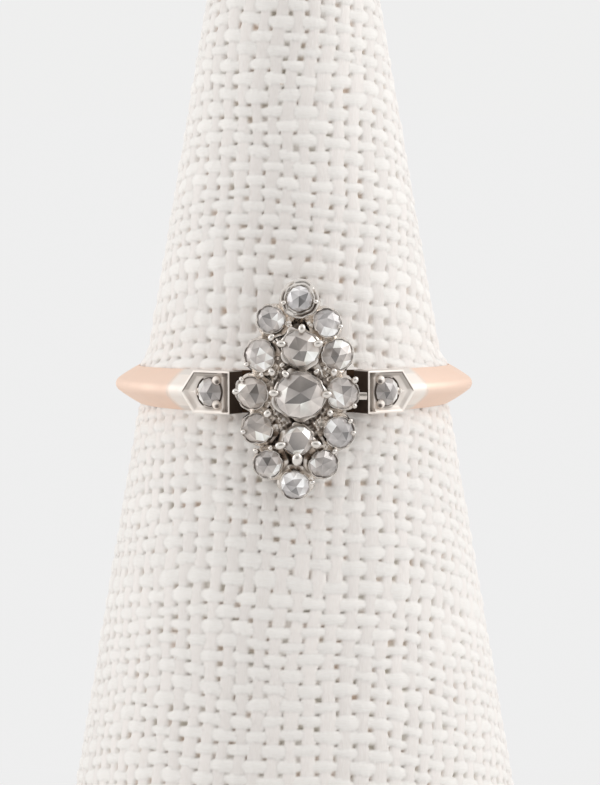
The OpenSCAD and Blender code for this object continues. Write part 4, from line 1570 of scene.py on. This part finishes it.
@dataclass
class YarnSet:
    """Parallel threads of the linen, each with a width, a phase and a tone of its own.

    Args:
        pitch: Mean distance from one thread to the next.
        count: How many threads.
        seed: Seed of their unevenness.
        uneven: How much their widths vary.
        slubs: Share of them that is much thicker.
        bends: Their bends to the side, as pairs of a share of the pitch and a wave length.
    """

    pitch: float
    count: int
    seed: int
    uneven: float
    slubs: float
    bends: Sequence[tuple[float, float]]

    # How much thicker a slub is, and how much the threads' tones vary.
    SLUB = 0.6
    TONES = 0.018
    # How a thread grows stouter and slimmer along its way, as pairs of a share and a wave length.
    SWELLINGS = ((0.18, 6.7), (0.10, 2.3))

    def __post_init__(self) -> None:
        """Draws the threads."""
        rng = np.random.default_rng(self.seed)
        width = 1 + self.uneven * rng.standard_normal(self.count).clip(-1.8, 1.8)
        width += self.SLUB * (rng.random(self.count) < self.slubs)
        width *= self.count / width.sum()
        middle = (np.cumsum(width) - width / 2) * self.pitch
        self.lines = middle - middle[-1] / 2
        self.width = width
        self.phase = rng.random((5, self.count)) * FULL_TURN
        self.tone = 1 + self.TONES * rng.standard_normal(self.count).clip(-2, 2)

    def locate(self, across: Grid, along: Grid) -> tuple[Grid, Grid, Grid, Grid]:
        """Where places lie among the threads.

        Args:
            across: Places across the threads in millimetres.
            along: Places along them.

        Returns:
            The place counted in threads, the nearest thread's number, the way from its bent middle as a
            share of the pitch, and how stout it is there.
        """
        count = np.interp(across, self.lines, np.arange(self.count))
        number = np.rint(count).astype(int)
        away, stout = count - number, 1.0
        for row, (share, length) in enumerate(self.bends):
            away = away + share * self.wave(row, number, along, length)
        for row, (share, length) in enumerate(self.SWELLINGS, len(self.bends)):
            stout = stout + share * self.wave(row, number, along, length)
        return count, number, away, stout

    def wave(self, row: int, number: Grid, along: Grid, length: float) -> Grid:
        """A sine along a thread, with the thread's own phase."""
        return np.sin(FULL_TURN * along / length + self.phase[row, number])


@dataclass
class Linen:
    """The linen cover: the cone's skin as a relief of woven threads, in bands of fewer than 200,000
    triangles.

    The threads lie on the flat cloth, which is the cone unrolled: a point at a slant distance s from the
    cone's apex and an angle a round it lies at (s sin b, -s cos b) with b the angle times the sine of the
    cone's slope.

    Args:
        ring_height: Height at which the radius is given.
        radius: Radius over the linen there.
        slope: How much the radius shrinks for each millimetre of height.
        tip: Radius of the rounded tip.
        thickness: Thickness of the cloth.
        foot: Height of the hem.
        square_at: Direction in degrees in which the threads stand upright.
        step: Mean size of a mesh cell round and up the cone.
        cuts: Heights between the bands.
        crowd: How much closer the mesh's columns stand at the front than on average, as a share.
        press: Radius that the ring presses the cloth down to.
        rise: How far each set of threads rises and sinks.
        plump: Height of a thread's bulge.
        spread: Half of its width, as a share of the pitch.
        blend: Softness of the crease where two threads cross.
        gap: Softness of the openings between threads, as a share of the pitch.
        hole_depth: Depth of that opening.
        swell: How far the cloth swells out over the ring's upper edge.
    """

    ring_height: float
    radius: float = 8.37
    slope: float = 0.17
    tip: float = 4.0
    thickness: float = 1.0
    foot: float = 0.4
    square_at: float = -20.0
    step: tuple[float, float] = (0.137, 0.117)
    cuts: tuple[float, ...] = (13.2, 28.5, 47.6)
    crowd: float = 0.34
    press: float = 8.47
    rise: dict[Yarn, float] = field(default_factory=lambda: {Yarn.WARP: 0.02, Yarn.WEFT: 0.05})
    plump: dict[Yarn, float] = field(default_factory=lambda: {Yarn.WARP: 0.055, Yarn.WEFT: 0.075})
    spread: dict[Yarn, float] = field(default_factory=lambda: {Yarn.WARP: 0.355, Yarn.WEFT: 0.35})
    blend: float = 0.03
    gap: float = 0.12
    hole_depth: float = 0.14
    swell: float = 0.32

    # Radius of the hem's round edge, and columns for each step round a band's widest row.
    HEM = 0.45
    DENSITY = 0.985
    # Width of the seam up the back and of the one round the tip, and how deep both lie.
    SEAM = 0.35
    TIP_SEAM = 0.3
    SEAM_DEPTH = 0.28
    # Height of the fuzz, and middle and width of the swell over the ring's middle.
    FUZZ = 0.008
    SWELL_AT = 0.95
    SWELL_WIDTH = 0.55
    # Degrees from the front, with their spread, where the painted shade in the openings is paler, and by how
    # much.
    PALE_AT = 74
    PALE_WIDTH = 17
    PALER = 0.4
    # Factors that scatter the sizes of the openings.
    SCATTER = (12.9898, 78.233, 43758.5453)
    # Power of a thread's arch, how much wider it is where it is up, its longest reach to each side, how
    # much chance narrows an opening, and the least painted shade in one, with what chance adds.
    ARCH = 2.6
    WIDER = 0.08
    REACH = 0.44
    NARROWER = 0.04
    SHADE = (0.09, 0.56)

    def __post_init__(self) -> None:
        """Works out the cone's lines and draws the threads."""
        self.angle = math.atan(self.slope)
        self.apex = self.ring_height + self.radius / self.slope
        self.tip_height = self.apex - self.tip / math.cos(self.angle) / self.slope
        self.joint = self.tip_height + self.tip * math.sin(self.angle)
        self.yarns = {
            Yarn.WARP: YarnSet(
                pitch=0.97, count=260, seed=11, uneven=0.06, slubs=0.02, bends=((0.05, 11.3), (0.04, 4.1))
            ),
            Yarn.WEFT: YarnSet(
                pitch=0.81, count=300, seed=23, uneven=0.09, slubs=0.06, bends=((0.05, 13.7), (0.05, 4.9))
            ),
        }

    def side_radius(self, height: Grid) -> Grid:
        """Radius over the linen at a height on the cone's side."""
        return self.radius + self.slope * (self.ring_height - height)

    def flat(self, azimuth: Grid, height: Grid, arc_left: Grid) -> tuple[Grid, Grid]:
        """Places on the flat cloth.

        Args:
            azimuth: Angle round the cone from the front, in radians.
            height: Height on the side.
            arc_left: On the rounded tip, the way that is left to its pole, and below 0 on the side.

        Returns:
            Places across the warps and across the wefts.
        """
        slant = (self.apex - height) / math.cos(self.angle)
        turn = (azimuth - math.radians(self.square_at)) * math.sin(self.angle)
        onto_tip = arc_left >= 0
        x = np.where(onto_tip, arc_left * np.sin(azimuth), slant * np.sin(turn))
        y = np.where(onto_tip, 30 - arc_left * np.cos(azimuth), 55 - slant * np.cos(turn))
        return x, y

    def relief(self, x: Grid, y: Grid) -> tuple[Grid, Grid, Grid, Grid, Grid]:
        """Height of the plain weave under its crests. Slow sines pull the cloth out of square. A thread
        rises and sinks as a cosine that is up at every second crossing, and bulges as a flat arch. The
        upper of two threads shows, with a soft crease between them. A hole sinks between four threads,
        wider where they are thin and by chance: the fraction of a large multiple of a sine of its place.

        Args:
            x: Places across the warps.
            y: Places across the wefts.

        Returns:
            The height (0 at the crests), the yarn's tone, the painted shade of a place deep between threads
            and how much it is a warp's, both from 0 to 1, and the places along and across the thread that
            shows.
        """
        warp, weft = self.yarns[Yarn.WARP], self.yarns[Yarn.WEFT]
        x, y = (
            x + 0.10 * np.sin(0.65 * y + 1.3 * np.sin(0.27 * x)) + 0.04 * np.sin(1.6 * y + x),
            y + 0.11 * np.sin(0.51 * x + 1.1 * np.sin(0.37 * y)) + 0.04 * np.sin(1.3 * x + y),
        )
        u, i, du, warp_stout = warp.locate(x, y)
        v, j, dv, weft_stout = weft.locate(y, x)
        over_warp = -np.cos(math.pi * v) * np.where(i % 2 == 0, 1, -1)
        over_weft = np.cos(math.pi * u) * np.where(j % 2 == 0, 1, -1)
        tops = []
        sets = ((Yarn.WARP, du, over_warp, warp_stout), (Yarn.WEFT, dv, over_weft, weft_stout))
        for kind, across, over, stout in sets:
            half = self.spread[kind] * stout * (1 + self.WIDER * over)
            bulge = np.maximum(1 - np.abs(across / half) ** self.ARCH, -1.5)
            tops.append(self.rise[kind] * over + self.plump[kind] * stout * bulge)
        crossing = np.hypot(tops[0] - tops[1], self.blend)
        top = (tops[0] + tops[1] + crossing) / 2
        along_u, along_v, far = self.SCATTER
        corner = np.sin(along_u * np.floor(u) + along_v * np.floor(v)) * far
        chance = corner - np.floor(corner)
        hole = 1.0
        for kind, across, _, stout in sets:
            edge = np.minimum(self.spread[kind] * stout, self.REACH) + self.NARROWER * (1 - chance)
            hole = hole * eased(np.abs(across), edge - 0.3 * self.gap, edge + 0.7 * self.gap)
        top = top - self.hole_depth * hole
        on_weft = tops[1] > tops[0]
        crest = self.rise[Yarn.WEFT] + 1.2 * self.plump[Yarn.WEFT]
        # Painted shade in the openings between the threads, deeper in some by chance.
        deep = hole * (self.SHADE[0] + self.SHADE[1] * chance)
        tone = np.where(on_weft, weft.tone[j], warp.tone[i])
        along = np.where(on_weft, x, y) + 7.3 * np.where(on_weft, j, i)
        across = np.where(on_weft, dv * weft.pitch, du * warp.pitch)
        is_warp = eased(tops[0] - tops[1], -0.02, 0.02)
        return np.minimum(top - crest, 0), tone, deep, is_warp, np.stack([along, across])

    def profile(self) -> dict[str, Grid]:
        """The rows of the outer skin from the hem to the pole: place, outward direction, the way left on
        the tip, and how much of the relief shows."""
        low, high = self.foot + self.HEM, self.joint
        side = np.linspace(low, high, int((high - low) / math.cos(self.angle) / self.step[1]))
        tip_way = self.tip * (math.pi / 2 - self.angle)
        sweep = np.linspace(self.angle, math.pi / 2, int(tip_way / self.step[1]))[1:]
        hem = np.radians(np.linspace(0, 84, 8))
        hem_radius = self.side_radius(low) - self.HEM + self.HEM * np.sin(hem)
        tip_height = self.tip_height + self.tip * np.sin(sweep)
        ones = np.ones_like
        parts = {
            "radius": [hem_radius, self.side_radius(side), self.tip * np.cos(sweep)],
            "height": [low - self.HEM * np.cos(hem), side, tip_height],
            "left": [-ones(hem), -ones(side), self.tip * (math.pi / 2 - sweep)],
            "tilt": [hem - math.pi / 2 + self.angle, self.angle * ones(side), sweep],
            "gain": [0.5 * np.sin(hem), ones(side), ones(sweep)],
        }
        return {name: np.concatenate(values) for name, values in parts.items()}

    def band(self, name: str, rows: dict[str, Grid], material: Material) -> Object:
        """One band of the cover as a closed tube: the relief outside, the smooth cloth's back inside.

        Args:
            name: The piece's name.
            rows: The band's rows, as profile() gives them.
            material: Its finish.

        Returns:
            The object.
        """
        columns = int(FULL_TURN * rows["radius"].max() * self.DENSITY / self.step[0])
        even = np.arange(columns) * FULL_TURN / columns - math.pi
        azimuth = (even - self.crowd * np.sin(even))[None]
        names = ("radius", "height", "left", "tilt", "gain", "under")
        radius, height, left, tilt, gain, under = (rows[k][:, None] for k in names)
        x, y = self.flat(azimuth + 0 * radius, height + 0 * azimuth, left + 0 * azimuth)
        relief, tone, deep, is_warp, fibre = self.relief(x, y)
        seam = bell((np.abs(azimuth) - math.pi) * radius, self.SEAM)
        sunk = np.maximum(seam, bell(height - self.joint, self.TIP_SEAM))
        # The painted shade in the openings is paler about 74 degrees round from the front.
        pale = 1 - self.PALER * bell(np.degrees(np.abs(azimuth)) - self.PALE_AT, self.PALE_WIDTH)
        fuzz = self.FUZZ * np.random.default_rng(len(name)).standard_normal(relief.shape)
        relief = relief * gain * (1 - 0.6 * sunk) - self.SEAM_DEPTH * sunk * gain + fuzz * gain * (left != 0)
        relief = relief + self.swell * bell(height - self.ring_height - self.SWELL_AT, self.SWELL_WIDTH)
        relief = relief - under
        out = radius + relief * np.cos(tilt)
        level = height + relief * np.sin(tilt)
        limit = self.press + 2.5 * np.maximum(0, self.ring_height - 1.3 - level)
        out = np.where(left < 0, np.minimum(out, limit - under), np.maximum(out, 0))
        inner = self.inner_rows(rows)
        skin, back = (
            np.stack([r * np.sin(azimuth), -r * np.cos(azimuth), z + 0 * azimuth], axis=-1)
            for r, z in ((out, level), (inner[:, :1], inner[:, 1:]))
        )
        grid = np.concatenate([skin, back, skin[:1]])

        def mark(back_tone: float, *layers: Grid) -> Grid:
            """The skin's numbers as one mark of the whole band, whose back is plain."""
            plain = np.zeros(back.shape)
            plain[..., 0] = back_tone
            outside = np.stack(layers, axis=-1)
            return np.concatenate([outside, plain, outside[:1]]).reshape(-1, 3)

        # The yarn mark carries the painted shade between the threads, less on the seams.
        marks = {
            "yarn": mark(1, tone, deep * pale * (1 - 0.5 * sunk), is_warp),
            "fibre": mark(0, fibre[0], fibre[1], 0 * fibre[0]),
        }
        piece = Piece(name, [Shell.of_grid(grid, wrap=True)], "linen", ["linen_cover"], marks, sharp=180)
        cloth = piece.build(material)
        return cloth

    def inner_rows(self, rows: dict[str, Grid]) -> Grid:
        """The cloth's back as (radius, height), from the top of a band to its foot: straight on the side,
        and an arc under the rounded tip."""
        top = rows["height"][-1]
        if rows["left"][-1] >= 0:
            bend = np.linspace(math.pi / 2, self.angle, 10)
            inside = self.tip - self.thickness
            cap = np.stack([inside * np.cos(bend), self.tip_height + inside * np.sin(bend)], axis=1)
        else:
            cap = np.array([[self.side_radius(top) - self.thickness / math.cos(self.angle), top]])
        foot = rows["height"][0]
        inner_foot = [self.side_radius(foot) - self.thickness / math.cos(self.angle), foot]
        return np.concatenate([cap, [inner_foot]])

    def build(self, material: Material) -> list[Object]:
        """Makes the bands from the foot up. Each reaches a few rows into the next, the last two of which
        sink under it."""
        rows = self.profile()
        tuck = np.array([0.06, 0.02])
        names = ("linen_foot_band", "linen_lower_band", "linen_ring_band", "linen_top_band")
        cuts = [0, *(int(np.searchsorted(rows["height"], cut)) for cut in self.cuts), len(rows["height"])]
        bands = []
        for name, first, last in zip(names, cuts[:-1], cuts[1:]):
            start, end = max(first - 2, 0), min(last + 4, len(rows["height"]))
            own = {k: r[start:end] for k, r in rows.items()}
            own["under"] = np.zeros(end - start)
            if first > 0:
                own["under"][:2] = tuck
            if end < len(rows["height"]):
                own["under"][-2:] = tuck[::-1]
            bands.append(self.band(name, own, material))
        return bands


# Studio


@dataclass(frozen=True)
class Studio:
    """A light tent: an even pale world, a pale sweep, two soft lights and a grey card behind the camera.

    Args:
        ring_height: Height of the ring's middle.
        distance: Distance of the camera.
        elevation: How far it looks down, in degrees.
        aim: The point that it looks at, from the ring's middle, in millimetres.
        lens: Focal length for a sensor 36 mm long.
        roll: Turn of the camera about its own axis in degrees.
        tent: Brightness of the tent.
    """

    ring_height: float
    distance: float = 260.0
    elevation: float = 3.4
    aim: tuple[float, float] = (0.33, -0.55)
    lens: float = 216.5
    roll: float = -0.1
    tent: float = 0.86

    # Radii in metres of the floor's rings, and its columns.
    FLOOR_RINGS = (0.0, 0.03, 0.06, 0.12, 0.25, 1.0, 8.0, 60.0)
    FLOOR_COLUMNS = 96

    def camera(self) -> None:
        """Makes the camera at the photograph's angle."""
        data = bpy.data.cameras.new("camera")
        data.sensor_width, data.sensor_fit, data.lens = 36.0, "AUTO", self.lens
        data.clip_start, data.clip_end = 0.01, 100.0
        camera = added("camera", data)
        target = Vector((self.aim[0], 0, self.ring_height + self.aim[1])) * MM
        down = math.radians(self.elevation)
        away = Vector((0, -math.cos(down), math.sin(down)))
        look = (-away).to_track_quat("-Z", "Y").to_matrix().to_4x4()
        roll = Matrix.Rotation(math.radians(self.roll), 4, "Z")
        camera.matrix_world = Matrix.Translation(target + away * self.distance * MM) @ look @ roll
        bpy.context.scene.camera = camera

    def facing(self, place: tuple[float, float, float], front: str) -> Matrix:
        """The matrix that puts a thing at a place, in metres from the ring's middle, facing the ring."""
        away, middle = Vector(place), Vector((0, 0, self.ring_height * MM))
        return Matrix.Translation(middle + away) @ (-away).to_track_quat(front, "Y").to_matrix().to_4x4()

    def light(self, name: str, place: tuple[float, float, float], size: float, power: float) -> None:
        """Makes a square soft light that looks at the ring.

        Args:
            name: Its name.
            place: Where it stands, in metres from the ring's middle.
            size: Length of its side.
            power: Its power in watts.
        """
        data = bpy.data.lights.new(name, "AREA")
        data.shape, data.size, data.energy = "SQUARE", size, power
        added(name, data).matrix_world = self.facing(place, "-Z")

    def card(self, name: str, place: tuple[float, float, float], size: float, colour: Colour) -> None:
        """Makes a square card that the camera does not see.

        Args:
            name: Its name.
            place: Where it stands, in metres from the ring's middle.
            size: Length of its side.
            colour: Its colour.
        """
        half = size / 2
        mesh = bpy.data.meshes.new(name)
        corners = [(-half, -half, 0), (half, -half, 0), (half, half, 0), (-half, half, 0)]
        mesh.from_pydata(corners, [], [(0, 1, 2, 3)])
        recipe = Recipe(name, Base_Color=colour, Roughness=0.8, Specular_IOR_Level=0.0)
        mesh.materials.append(recipe.material)
        card = added(name, mesh)
        card.matrix_world = self.facing(place, "Z")
        card.visible_camera = card.visible_shadow = False

    def sweep(self) -> None:
        """Makes the floor: a wide round of paper."""
        rings = np.array(self.FLOOR_RINGS)[:, None]
        angle = np.arange(self.FLOOR_COLUMNS) * FULL_TURN / self.FLOOR_COLUMNS
        shell = Shell.of_grid(polar(rings, angle, 0 * rings), wrap=True)
        mesh = bpy.data.meshes.new("floor")
        mesh.from_pydata(shell.points.tolist(), [], shell.faces.tolist())
        Piece.weld(mesh)
        mesh.materials.append(FloorFinish(pale=self.tent).material())
        floor = added("floor", mesh)

    def world(self) -> None:
        """Makes the tent."""
        world = bpy.data.worlds.new("tent")
        world.use_nodes = True
        colour = (self.tent, self.tent, 0.997 * self.tent, 1)
        world.node_tree.nodes["Background"].inputs["Color"].default_value = colour
        bpy.context.scene.world = world
        bpy.context.scene.view_settings.view_transform = "Standard"

    def build(self) -> None:
        """Makes the whole studio."""
        self.world()
        self.sweep()
        self.camera()
        self.light("key_light", place=(0.40, -0.04, 0.26), size=0.34, power=0.72)
        self.light("fill_light", place=(-0.44, 0.00, 0.14), size=0.40, power=0.50)
        self.card("grey_card_front", place=(0.0, -0.9, 0.02), size=1.0, colour=(0.30, 0.295, 0.285))
        LOG.info("studio: camera %.0f mm away, looking down %.1f degrees", self.distance, self.elevation)


# The whole scene


def shoulder_stone(side: Side, shoulder: Shoulder) -> RoseCut:
    """The stone of one shoulder, in the frame of its plate."""
    name = f"shoulder_stone_{side.name.lower()}"
    # Its white and dark directions place painted highlights and a painted dark reflection on its facets.
    return RoseCut(
        name, shoulder.stone_x, 0, 2 * shoulder.stone_radius, -shoulder.stone_depth, 0, 0, (-0.12, 0),
        0.64, 0.2, WALL, white=(25, -35), dark=(-150,), body=0.48, warmth=0.25,
        reach=(1.1, 1.0, 1.2, 0.7, 0.9, 1.1), waver=0.0,
    )


def main() -> None:
    """Builds the studio, the cone, the ring and its stones."""
    logging.basicConfig(level=logging.INFO, format="%(message)s")
    low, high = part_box("shank")
    ring_height = round((low.z + high.z) / 2 / MM, 2)
    place = RingFrame(ring_height)
    Studio(ring_height).build()

    gold = MetalFinish("rose_gold_polish", ROSE_GOLD, WHITE_METAL, edge=GOLD_EDGE, roughness=0.6)
    white = MetalFinish("white_metal_polish", WHITE_METAL, TARNISH, roughness=0.15, hammer=0.008, grain=1500)
    satin = MetalFinish("white_metal_satin", SATIN_METAL, ROSE_GOLD, roughness=0.56, hammer=0.004)
    silver, gem = white.material(), GemFinish().material()

    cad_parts["cone_core"].data.materials.clear()
    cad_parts["cone_core"].data.materials.append(WoodFinish().material())
    Linen(ring_height).build(LinenFinish().material())

    shank = Shank(place)
    shank.build_gold(gold.material())
    satin_white = satin.material()
    for side in Side:
        shoulder = Shoulder(side, shank)
        shoulder.build(satin_white)
        shoulder_stone(side, shoulder).build(place.plate(side), gem, seed=70 + side.value)
    Cluster(place).build(silver)
    for seed, stone in enumerate(STONES):
        stone.build(place.head(), gem, seed)


if __name__ == "__main__":
    main()
